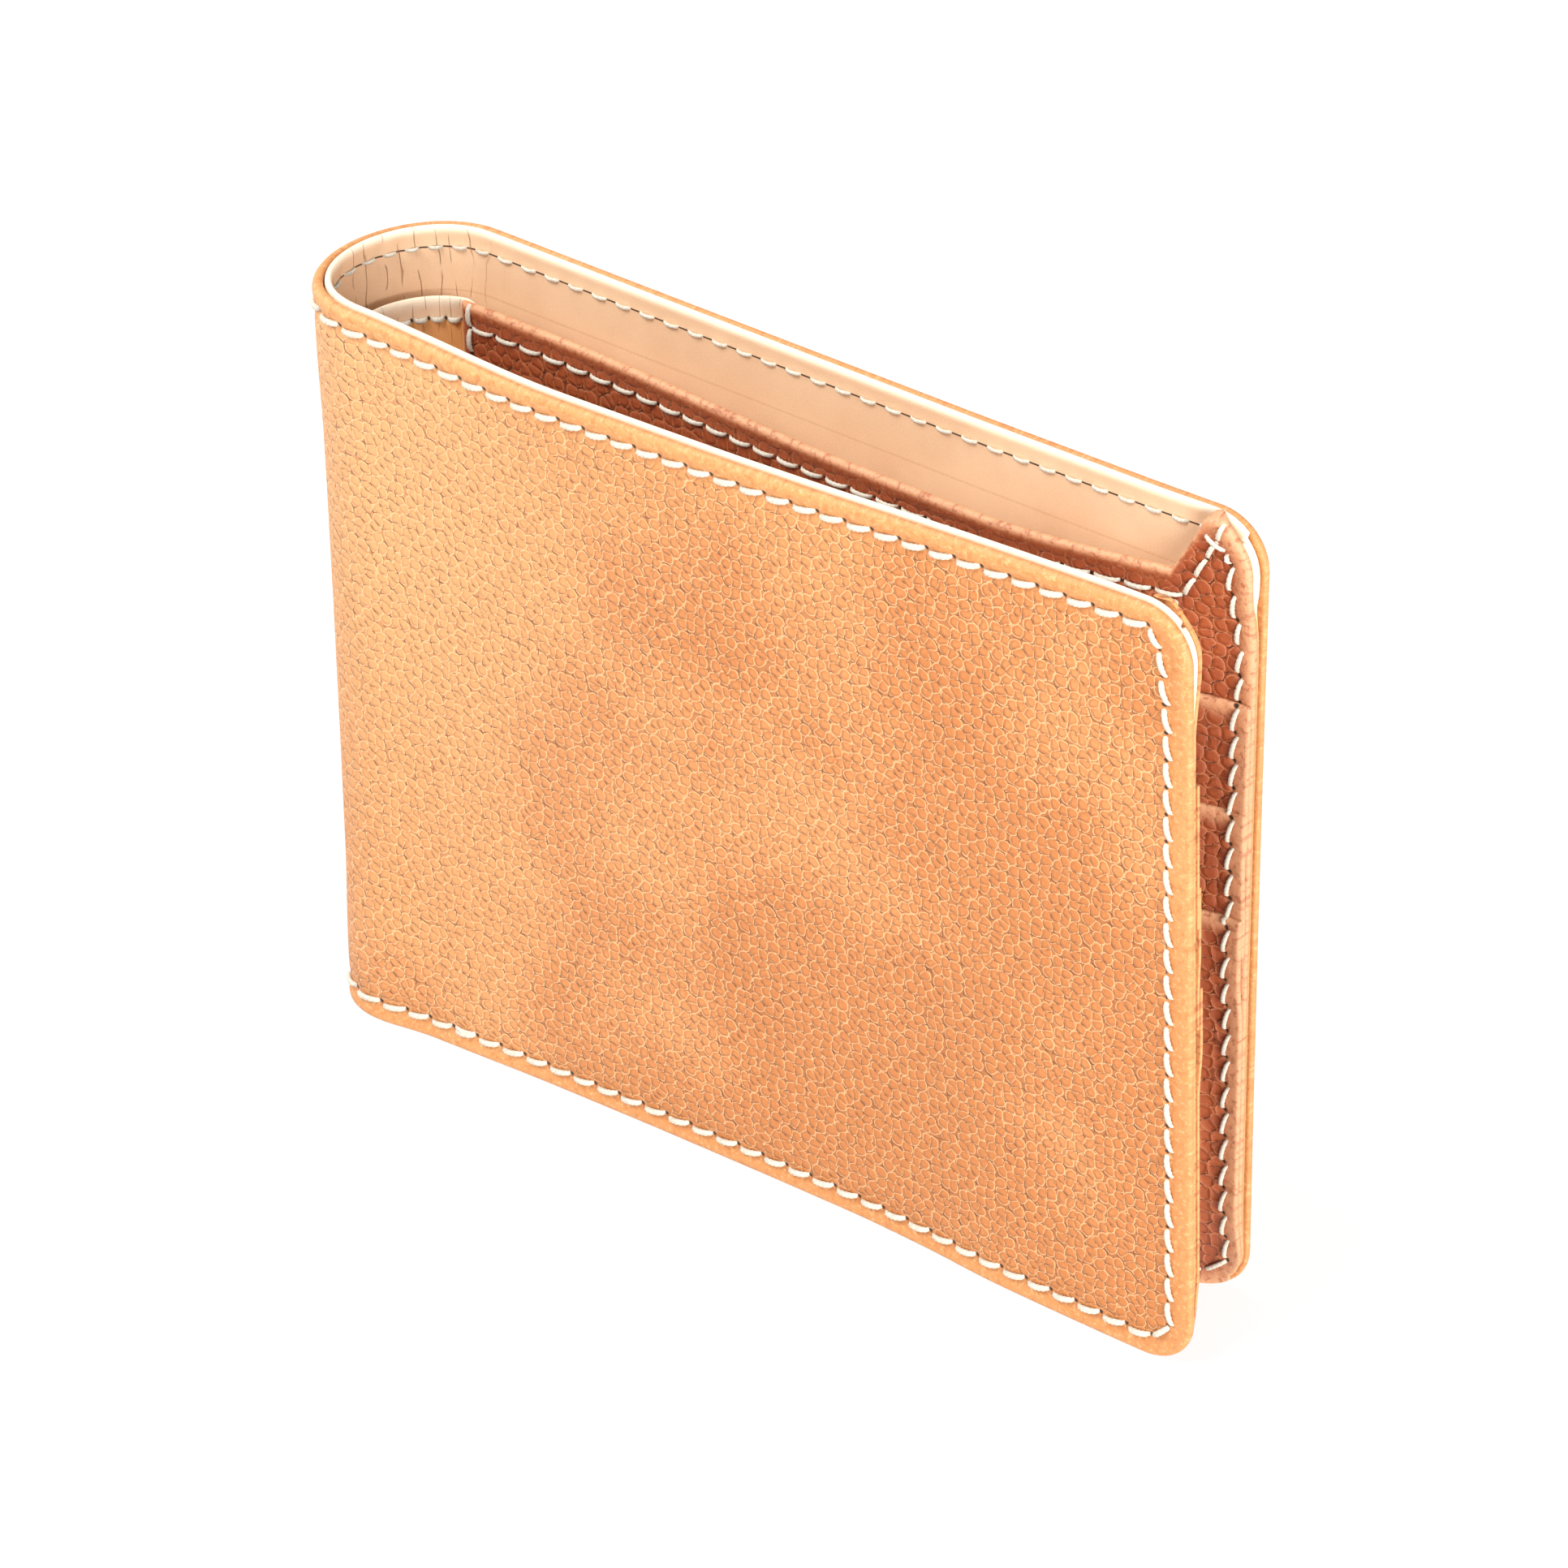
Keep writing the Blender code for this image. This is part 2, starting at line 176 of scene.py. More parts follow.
# How far the walls stand out from the plain wallet: (place along s, at the top, at the foot). The places are
# counted from the spine's middle, or with FRONT or BACK from that end of the spine.
STANCE_FRONT = [
    (0, 2.3, -1.6),
    (4, 2.5, -1.7),
    (15, 2.9, -2.15),
    (22, 3.05, -2.25),
    (30, 3.0, -2.35),
    (45, 2.85, -2.35),
    (56, 2.5, -2.25),
    (64, 2.1, -1.8),
    (72, 1.75, -1.0),
    (80, 1.5, -0.7),
    (88, 1.3, -0.5),
    (97, 1.2, -0.4),
]
STANCE_SPINE = [
    (-13, 2.3, -1.2),
    (-11, 2.25, -0.2),
    (-9.4, 2.1, 1.2),
    (-6.5, 1.4, 2.8),
    (-3.5, 0.55, 2.9),
    (0, -0.2, 2.2),
    (4, -0.65, 1.1),
    (9, -0.5, -0.2),
    (13, -0.1, -0.9),
]
STANCE_BACK = [
    (0, 0.0, -1.0),
    (20, 0.0, -0.8),
    (60, 0.1, -1.0),
    (80, 0.4, -1.2),
    (93, 0.8, -1.4),
]
STANCE = [(-SPINE_END / MM - run, top, foot) for run, top, foot in reversed(STANCE_FRONT)]
STANCE += STANCE_SPINE + [(SPINE_END / MM + run, top, foot) for run, top, foot in STANCE_BACK]
STANCE_S, STANCE_TOP, STANCE_FOOT = np.array(STANCE).T * MM
EASE = np.linspace(-2.5 * MM, 2.5 * MM, 9)


def stance(s, z):
    """How far the whole stack of layers stands outwards at (s, z)."""
    top = sum(np.interp(s + ease, STANCE_S, STANCE_TOP) for ease in EASE) / len(EASE)
    foot = sum(np.interp(s + ease, STANCE_S, STANCE_FOOT) for ease in EASE) / len(EASE)
    return foot + (top - foot) * z / HEIGHT


FAR_TOP = 0.35 * MM  # how much further the back half reaches at its free end
FAR_FOOT = 0.65 * MM  # and how much more at its foot
FRONT_SAG = 0.95 * MM  # how much lower the top of the front half is, and over what length it falls to that
SAG_LENGTH = 25.0 * MM
PRESSED_FULLY = 1.5 * MM  # from an edge, where the layers start to part
PARTED_END = 11 * MM  # over what length they part at a free end, and above the foot
PARTED_FOOT = 10 * MM
LOOSE_TOP = (72 * MM, 8 * MM)  # from what height they are pressed less at a free end, and over what height
LOOSENED = 0.7
FOOT_SQUEEZE = 0.6  # how thick the pressed layers are along the foot, as a share
PRESSED_FROM = (0.0, 0.8, 2.55, 4.1, 6.0)  # depths in mm, and where they are pressed to along a sewn free end
PRESSED_TO = (0.0, 0.8, 1.1, 2.85, 4.7)


def squeeze(s, z, depth):
    """The depth after the inner layers are pressed together along the sewn edges."""
    pressed = np.interp(depth / MM, PRESSED_FROM, PRESSED_TO) * MM
    at_end = 1 - smooth((free_end(s) - PRESSED_FULLY) / PARTED_END)
    at_end = at_end * (1 - LOOSENED * smooth((z - LOOSE_TOP[0]) / LOOSE_TOP[1]))
    at_foot = (1 - FOOT_SQUEEZE) * (1 - smooth((z - PRESSED_FULLY) / PARTED_FOOT))
    squeezed = depth - np.maximum(depth - COVER_THICKNESS, 0) * at_foot
    return squeezed + at_end * (pressed - depth)


def place(s, z, depth, lift=0.0):
    """The points at (s, z, depth), one row each, raised inwards by lift."""
    turned = np.clip(s, -SPINE_END, SPINE_END)
    angle = MIDDLE_ANGLE - turned / SPINE_RADIUS
    run = s - turned
    run = run + np.maximum(run, 0) / BACK_LENGTH * (FAR_TOP + FAR_FOOT * (1 - z / HEIGHT) ** 2)
    reach = SPINE_RADIUS - squeeze(s, z, depth) - lift + stance(s, z)
    x = CENTRE[0] + reach * np.cos(angle) + run * np.sin(angle)
    y = CENTRE[1] + reach * np.sin(angle) - run * np.cos(angle)
    sag = FRONT_SAG * smooth((-SPINE_END - s) / SAG_LENGTH) * z / HEIGHT
    return np.stack([x, y, z - sag + np.zeros_like(x)], axis=-1)


BELLY_AT_SPINE = 1.3 * MM
BELLY_AT_BACK = 1.6 * MM
BELLY_MOST = 3.3 * MM
BELLY_RISE = (10.0 * MM, 50.0 * MM)
BELLY_FALL = (64.0 * MM, 91.0 * MM)
BELLY_SHAPE = 0.75
BELLY_TURN = -SPINE_END / 3
BELLY_FRONT_END = BELLY_TURN - 2 * SPINE_END


def belly(s, z):
    """How far the compartment's inner wall stands away from the liner at (s, z)."""
    past_spine = s - SPINE_END
    grown = smooth((past_spine - BELLY_RISE[0]) / (BELLY_RISE[1] - BELLY_RISE[0]))
    closed = smooth((past_spine - BELLY_FALL[0]) / (BELLY_FALL[1] - BELLY_FALL[0]))
    on_back = (BELLY_AT_BACK + (BELLY_MOST - BELLY_AT_BACK) * grown) * (1 - closed)
    grown = smooth((s - BELLY_TURN) / (SPINE_END - BELLY_TURN))
    round_spine = BELLY_AT_SPINE + (BELLY_AT_BACK - BELLY_AT_SPINE) * grown
    on_front = BELLY_AT_SPINE * (1 - smooth((BELLY_TURN - s) / (BELLY_TURN - BELLY_FRONT_END)))
    width = np.where(past_spine > 0, on_back, np.where(s > BELLY_TURN, round_spine, on_front))
    share = np.clip((z - SEAM_INSET) / (PANEL_TOP - SEAM_INSET), 0, 1.1)
    return width * share**BELLY_SHAPE


# Seams: lists of (s, z) where the thread goes through the leather

LAST_HOLE = {side: ENDS[side] - COLUMN_INSET - CHAMFER for side in SIDES}
FIRST_HOLE = -LAST_HOLE["front"]
RUN_STITCHES = round((LAST_HOLE["front"] + LAST_HOLE["back"]) / PITCH_WANTED)
PITCH = (LAST_HOLE["front"] + LAST_HOLE["back"]) / RUN_STITCHES


def even_holes(start, end, pitch=PITCH):
    """Places from start to end, as near to the pitch as fits."""
    start, end = np.array(start, float), np.array(end, float)
    count = max(round(np.linalg.norm(end - start) / pitch), 1)
    return [start + (end - start) * i / count for i in range(count + 1)]


def level_holes(z, low, high):
    """The holes of a level seam, on the pitch that the whole wallet shares."""
    places = FIRST_HOLE + PITCH * np.arange(RUN_STITCHES + 1)
    return [np.array([s, z]) for s in places if low - 1e-6 <= s <= high + 1e-6]


def upright_holes(side, inset, foot):
    """The holes of the seam up a free end, bottom to top."""
    s = SIDES[side] * (ENDS[side] - inset)
    holes = even_holes((s, foot + CHAMFER), (s, HEM - CHAMFER))
    for hole in holes:
        hole[0] -= SIDES[side] * UPRIGHT_LEAN * smooth((hole[1] - HEM + LEAN_FROM) / LEAN_OVER)
    return holes


HEM_HOLES = level_holes(HEM, FIRST_HOLE, LAST_HOLE["back"])
FOOT_HOLES = level_holes(FOOT_INSET, FIRST_HOLE, LAST_HOLE["back"])


def step_line(side):
    """The ends of the seam along the slanted step of a card panel: at the panel's hem and at the top hem."""
    sign, end = SIDES[side], ENDS[side]
    foot, top = STEP_SEAM
    return (sign * (end - foot), PANEL_HEM), (sign * (end - top), HEM)


# Sheets of leather

ROLL_MARKS = [0.0, 0.04 * MM, 0.16 * MM, 0.35 * MM, 0.6 * MM, 0.9 * MM, 1.25 * MM, 1.7 * MM]
SEAM_MARKS = [-0.6 * MM, -0.3 * MM, 0.0, 0.3 * MM, 0.6 * MM]
NEAREST = 0.12 * MM


def thin_out(fixed, loose, low, high):
    """Sorted marks from low to high: all the fixed ones, and the loose ones that are clear of them."""
    fixed = sorted({round(float(mark), 7) for mark in fixed if low - 1e-9 <= mark <= high + 1e-9})
    kept = list(fixed)
    for mark in loose:
        if low < mark < high and min(abs(mark - other) for other in fixed) > NEAREST:
            kept.append(float(mark))
    return np.array(sorted(kept))


class Sheet:
    """One sheet of leather or lining.

    low and high are the heights of its straight edges, near and far limit it along s, outer(s, z) is its
    outer face's depth, and thickness is its own. The options: inset is how far it stops short of the free
    ends, and stepped raises its top at them. roll is how far its outer and inner faces round off from an
    edge. holes_out and holes_in are the stitch holes on its two faces. swell(s, z, edge) thickens both faces.
    spacing is between its points, and marks_s and marks_z are seams, where they lie closer. sunk lowers it
    behind the panels, tip raises it where the panel is folded over, and tuck draws its free ends in.
    """

    OPTIONS = {
        "inset": 0.0,
        "stepped": False,
        "roll": (0.6 * MM, 0.6 * MM),
        "holes_out": (),
        "holes_in": (),
        "swell": None,
        "spacing": (PITCH / 6, 0.5 * MM),
        "marks_s": (),
        "marks_z": (),
        "sunk": False,
        "tip": 0.0,
        "tuck": 0.0,
    }

    def __init__(self, low, high, near, far, outer, thickness, **options):
        self.low, self.high, self.near, self.far = low, high, near, far
        self.outer, self.thickness = outer, thickness
        for name, default in self.OPTIONS.items():
            setattr(self, name, options.get(name, default))

    def columns(self, start, end):
        fixed = [start, end]
        for limit, sign in ((self.near, 1), (self.far, -1)):
            fixed += [limit + sign * mark for mark in ROLL_MARKS]
        for mark in self.marks_s:
            fixed += [mark + offset for offset in SEAM_MARKS]
        if start > self.near + 1e-9:
            fixed.append(start + 0.05 * MM)
        if end < self.far - 1e-9:
            fixed.append(end - 0.05 * MM)
        steps = np.arange(-20, RUN_STITCHES * 10)
        return thin_out(fixed, FIRST_HOLE + steps * self.spacing[0], start, end)

    def rows(self):
        fixed = [self.low + mark for mark in ROLL_MARKS] + [self.high - mark for mark in ROLL_MARKS]
        for mark in self.marks_z:
            fixed += [mark + offset for offset in SEAM_MARKS]
        return thin_out(fixed, np.arange(self.low, self.high, self.spacing[1]), self.low, self.high)

    def outline(self, s, z):
        """Moves grid places onto the sheet's outline. Returns s, z and the distance from the nearest edge."""
        end = free_end(s) - self.inset
        top = np.full_like(s, self.high)
        slope = np.ones_like(s)
        if self.stepped:
            rise = HEIGHT - self.inset - self.high
            climb = np.clip((STEP_START - self.inset - end) / (STEP_START - STEP_END), 0, 1)
            top = self.high + rise * climb
            z = z + rise * climb * np.clip((z - self.high + STEP_BLEND) / STEP_BLEND, 0, 1)
        if self.sunk:
            limit = np.where(s > 0, PANEL_NEAR["back"], PANEL_NEAR["front"])
            share = smooth((z - self.high + STEP_BLEND) / STEP_BLEND)
            down = SUNK * smooth((np.abs(s) - limit) / (3 * MM))
            z = z - down * share
            top = top - down
            on_slope = (climb > 0) & (climb < 1)
            slope = np.where(on_slope, (STEP_START - STEP_END) / math.hypot(rise, STEP_START - STEP_END), 1.0)
        edge = np.minimum(z - self.low, (top - z) * slope)
        edge = np.minimum(edge, np.minimum(s - self.near, self.far - s))
        radius = CORNER_RADIUS - self.inset
        across = np.maximum(radius - end, 0)
        highest = HEIGHT - self.inset
        for base, sign in ((highest - radius, 1), (self.inset + radius, -1)):
            if sign < 0 and self.low > self.inset + radius:
                continue
            up = np.maximum(sign * (z - base), 0)
            in_corner = (across > 0) & (up > 0)
            length = np.where(in_corner, np.hypot(across, up), 1.0)
            scale = np.where(in_corner, np.maximum(across, up) / length, 1.0)
            z = np.where(in_corner, base + sign * up * scale, z)
            end = np.where(in_corner, radius - across * scale, end)
        near_end = free_end(s) < CORNER_RADIUS + MM
        moved = np.where(s > 0, BACK_END - self.inset - end, end + self.inset - FRONT_END)
        s = np.where(near_end, moved, s)
        below = 1 - smooth((z - PANEL_TOP + 4 * MM) / (4 * MM))
        s = s - np.sign(s) * self.tuck * below * (1 - smooth(free_end(s) / (6 * MM)))
        z = z + self.tip * hill(free_end(s), TIP_AT, TIP_WIDTH) * smooth((z - HEIGHT + 2.5 * MM) / (2 * MM))
        return s, z, np.maximum(edge, 0)

    def faces(self, s, z, edge):
        """Depths of the outer and inner face, and the painted shade of the stitch holes in each."""
        base = self.outer(s, z)
        rounding = []
        for width in self.roll:
            short = 1 - np.minimum(edge / width, 1)
            rounding.append(self.thickness / 2 * (1 - np.sqrt(1 - short * short)))
        outer = base + rounding[0]
        inner = base + self.thickness - rounding[1]
        if self.swell:
            more_out, more_in = self.swell(s, z, edge)
            outer, inner = outer + more_out, inner + more_in
        dark = []
        for face, holes, sign in ((0, self.holes_out, 1), (1, self.holes_in, -1)):
            sunk, shade = dents(s, z, holes)
            dark.append(shade)
            if face == 0:
                outer = outer + sunk
            else:
                inner = inner - sunk
        return outer, inner, dark[0], dark[1]


GROOVE_DEPTH = 0.09 * MM
GROOVE_WIDTH = 1.3 * MM
DENT_DEPTH = 0.22 * MM
DENT_WIDTH = 0.34 * MM
SHADE_WIDTH = 0.4 * MM
DENT_REACH = 2.5 * MM  # from a hole, beyond which nothing is moved


def dents(s, z, holes):
    """How far stitches pull the leather in at (s, z), and the painted shade of the holes there."""
    sunk, shade = np.zeros_like(s), np.zeros_like(s)
    for hole_s, hole_z in holes:
        near = (np.abs(s - hole_s) < DENT_REACH) & (np.abs(z - hole_z) < DENT_REACH)
        gap = np.hypot(s[near] - hole_s, z[near] - hole_z)
        sunk[near] = np.maximum(sunk[near], GROOVE_DEPTH * hill(gap, 0, GROOVE_WIDTH))
        sunk[near] = np.maximum(sunk[near], DENT_DEPTH * hill(gap, 0, DENT_WIDTH))
        shade[near] = np.maximum(shade[near], hill(gap, 0, SHADE_WIDTH))
    return sunk, shade


def quads(index):
    """The faces of a grid of vertex numbers."""
    corners_of = [index[:-1, :-1], index[1:, :-1], index[1:, 1:], index[:-1, 1:]]
    return np.stack(corners_of, axis=-1).reshape(-1, 4)


def add_mesh(name, points, faces, finish, uv=None, layers=None):
    """An object from points and faces. uv has a pair and each of layers has a number for each point."""
    mesh = bpy.data.meshes.new(name)
    mesh.from_pydata(points.tolist(), [], faces)
    if uv is not None:
        corners = np.empty(len(mesh.loops), np.int32)
        mesh.loops.foreach_get("vertex_index", corners)
        mesh.uv_layers.new(name="leather").data.foreach_set("uv", uv[corners].astype(np.float32).ravel())
    for layer, values in (layers or {}).items():
        mesh.attributes.new(layer, "FLOAT", "POINT").data.foreach_set("value", values.astype(np.float32))
    work = bmesh.new()
    work.from_mesh(mesh)
    bmesh.ops.recalc_face_normals(work, faces=work.faces)
    work.to_mesh(mesh)
    work.free()
    mesh.shade_smooth()
    mesh.set_sharp_from_angle(angle=math.radians(50))
    mesh.materials.append(finish)
    made = bpy.data.objects.new(name, mesh)
    bpy.context.scene.collection.objects.link(made)
    return made


def build_sheet(name, sheet, start, end, finish):
    """The stretch of a sheet from s = start to end as one closed solid."""
    s, z = np.meshgrid(sheet.columns(start, end), sheet.rows(), indexing="ij")
    s, z, edge = sheet.outline(s, z)
    outer, inner, dark_out, dark_in = sheet.faces(s, z, edge)
    one = np.arange(s.size).reshape(s.shape)
    two = one + s.size
    two[:, 0], two[:, -1] = one[:, 0], one[:, -1]
    caps = []
    for row, is_edge in ((0, start <= sheet.near + 1e-9), (-1, end >= sheet.far - 1e-9)):
        if is_edge:
            two[row] = one[row]
        else:
            caps.append(np.stack([one[row], two[row]]))
    faces = [quads(one), quads(two)[:, ::-1]]
    for cap in caps:
        inside = quads(cap)
        faces += [inside[1:-1]]
        faces += [inside[:1], inside[-1:]]
    faces = np.concatenate(faces)
    points = np.concatenate([place(s, z, outer).reshape(-1, 3), place(s, z, inner).reshape(-1, 3)])
    uv = np.tile(np.stack([s.ravel(), z.ravel()], axis=-1) / UV_UNIT, (2, 1))
    layers = {
        # hole carries the painted shade of the stitch holes.
        "hole": np.concatenate([dark_out.ravel(), dark_in.ravel()]),
        "edge": np.tile(edge.ravel() / MM, 2),
        "inside": np.repeat([0.0, 1.0], s.size),
    }
    used = np.unique(faces)
    renumber = np.zeros(len(points), int)
    renumber[used] = np.arange(len(used))
    faces = renumber[faces]
    clean = [list(dict.fromkeys(face)) for face in faces.tolist()]
    clean = [face for face in clean if len(face) > 2]
    points, uv = points[used], uv[used]
    layers = {layer: values[used] for layer, values in layers.items()}
    return add_mesh(name, points, clean, finish, uv, layers)


# Thread

STITCH_SINKS = 0.2 * MM  # how deep a stitch's ends go
STITCH_STANDS = 0.95  # how high its middle lies, in thread radii
STITCH_STEPS = 16
THREAD_SIDES = 14
PLIES = 3
TWIST_LENGTH = 1.7 * MM


def stitch_points(start, end, surface, outward, reach=(0.07, 0.93), slant=0.0, shift=0.0, thick=1.0):
    """Rings of one stitch from hole to hole: it comes up, lies on the surface and goes down again.

    surface(s, z) is the depth of the leather there, and outward is -1 on an outer face and 1 on an inner one.
    reach is the part of the way from hole to hole that it covers. slant and shift move it across its seam:
    slant turns it, and shift moves all of it.
    """
    start, end = np.array(start, float), np.array(end, float)
    length = np.linalg.norm(end - start)
    along = (end - start) / length
    across = np.array([-along[1], along[0]])
    u = np.linspace(0, 1, STITCH_STEPS)
    rise = np.sin(math.pi * np.clip(u * 1.04 - 0.02, 0, 1)) ** 0.42
    centre = start + np.outer(reach[0] + (reach[1] - reach[0]) * u, along * length)
    centre = centre + np.outer(slant * (1 - 2 * u) + shift, across)
    radius = THREAD_RADIUS * thick * (0.74 + 0.26 * rise)
    lift = -STITCH_SINKS + (STITCH_SINKS + THREAD_RADIUS * STITCH_STANDS) * rise
    turn = np.linspace(0, 2 * math.pi, THREAD_SIDES, endpoint=False)
    twist = u[:, None] * length / TWIST_LENGTH * 2 * math.pi + start.sum() / PITCH_WANTED
    ring = radius[:, None] * (0.89 + 0.11 * np.cos(PLIES * (turn[None, :] - twist)))
    side = ring * np.cos(turn)[None, :]
    high = ring * np.sin(turn)[None, :] * 0.85 + lift[:, None]
    s = centre[:, :1] + side * across[0]
    z = centre[:, 1:] + side * across[1]
    base = surface(centre[:, :1] + 0 * side, centre[:, 1:] + 0 * side)
    return place(s, z, base, outward * high)


def ring_faces(rings, sides):
    """Faces of a tube with closed ends."""
    faces = []
    for i in range(rings - 1):
        for j in range(sides):
            k = (j + 1) % sides
            faces.append([i * sides + j, i * sides + k, (i + 1) * sides + k, (i + 1) * sides + j])
    faces.append(list(range(sides)))
    faces.append([(rings - 1) * sides + j for j in reversed(range(sides))])
    return faces


STITCH_FACES = ring_faces(STITCH_STEPS, THREAD_SIDES)


def build_stitches(name, stitches, finish):
    """One object of separate stitches, each given as the arguments of stitch_points."""
    points, faces = [], []
    for stitch in stitches:
        base = len(points) * STITCH_STEPS * THREAD_SIDES
        points.append(stitch_points(**stitch).reshape(-1, 3))
        faces += [[base + corner for corner in face] for face in STITCH_FACES]
    return add_mesh(name, np.concatenate(points), faces, finish)


def run_of(holes, surface, outward, **more):
    """Stitches from hole to hole."""
    return [
        {"start": one, "end": two, "surface": surface, "outward": outward, **more}
        for one, two in zip(holes, holes[1:])
    ]


# Materials


class Finish:
    """A node material that is built up step by step."""

    def __init__(self, name, roughness):
        self.material = bpy.data.materials.new(name)
        self.material.use_nodes = True
        self.nodes = self.material.node_tree.nodes
        self.links = self.material.node_tree.links
        self.shader = self.nodes["Principled BSDF"]
        self.shader.inputs["Roughness"].default_value = roughness

    def put(self, socket, value):
        if isinstance(value, bpy.types.NodeSocket):
            self.links.new(value, socket)
        elif isinstance(value, tuple) and len(value) == 3 and socket.type == "RGBA":
            socket.default_value = (*value, 1.0)
        else:
            socket.default_value = value

    def node(self, kind, inputs, **settings):
        made = self.nodes.new(kind)
        for key, value in settings.items():
            setattr(made, key, value)
        for key, value in inputs.items():
            self.put(made.inputs[key], value)
        return made

    def math(self, operation, one, two=0.0, three=0.0):
        return self.node("ShaderNodeMath", {0: one, 1: two, 2: three}, operation=operation).outputs[0]

    def apart(self, one, two=0.0):
        """How far two values are apart."""
        return self.math("ABSOLUTE", self.math("SUBTRACT", one, two))

    def times(self, first, *others):
        """The product of all the values."""
        for other in others:
            first = self.math("MULTIPLY", first, other)
        return first

    def vector(self, operation, one, two=(0, 0, 0), scale=1.0):
        inputs = {0: one, 1: two}
        if operation == "SCALE":
            inputs = {0: one, "Scale": scale}
        made = self.node("ShaderNodeVectorMath", inputs, operation=operation)
        return made.outputs["Value" if operation in ("DOT_PRODUCT", "LENGTH") else "Vector"]

    def ramp(self, value, low, high, to_low=0.0, to_high=1.0, kind="SMOOTHSTEP"):
        """value from low..high onto to_low..to_high, held at both ends."""
        inputs = {"Value": value, "From Min": low, "From Max": high, "To Min": to_low, "To Max": to_high}
        return self.node("ShaderNodeMapRange", inputs, interpolation_type=kind).outputs["Result"]

    def mix(self, factor, one, two, blend="MIX"):
        inputs = {"Factor": factor, 6: one, 7: two}
        return self.node("ShaderNodeMix", inputs, data_type="RGBA", blend_type=blend).outputs[2]

    def attribute(self, name):
        return self.node("ShaderNodeAttribute", {}, attribute_name=name).outputs["Fac"]

    def uv(self):
        return self.node("ShaderNodeUVMap", {}, uv_map="leather").outputs["UV"]

    def place(self):
        return self.node("ShaderNodeTexCoord", {}).outputs["Object"]

    def stretch(self, vector, scale, location=(0, 0, 0), turn=0.0):
        inputs = {"Vector": vector, "Scale": scale, "Location": location, "Rotation": (0, 0, turn)}
        return self.node("ShaderNodeMapping", inputs).outputs["Vector"]

    def noise(self, vector, scale, detail=3.0, rough=0.5, output="Fac", dimensions="2D"):
        inputs = {"Vector": vector, "Scale": scale, "Detail": detail, "Roughness": rough}
        return self.node("ShaderNodeTexNoise", inputs, noise_dimensions=dimensions).outputs[output]

    def cells(self, vector, scale, feature="F1", randomness=0.62):
        inputs = {"Vector": vector, "Scale": scale, "Randomness": randomness}
        return self.node("ShaderNodeTexVoronoi", inputs, voronoi_dimensions="2D", feature=feature)

    def bump(self, height, distance, strength=1.0):
        inputs = {"Height": height, "Distance": distance, "Strength": strength}
        made = self.node("ShaderNodeBump", inputs)
        self.links.new(made.outputs["Normal"], self.shader.inputs["Normal"])

    def finish(self, color):
        self.put(self.shader.inputs["Base Color"], color)
        return self.material


# Colour of the painted shade in the stitch holes.
HOLE_SHADE = (0.035, 0.014, 0.006)
END_BAND = (7.0 * MM, 3.5 * MM)  # from the free end, where the smooth edge widens


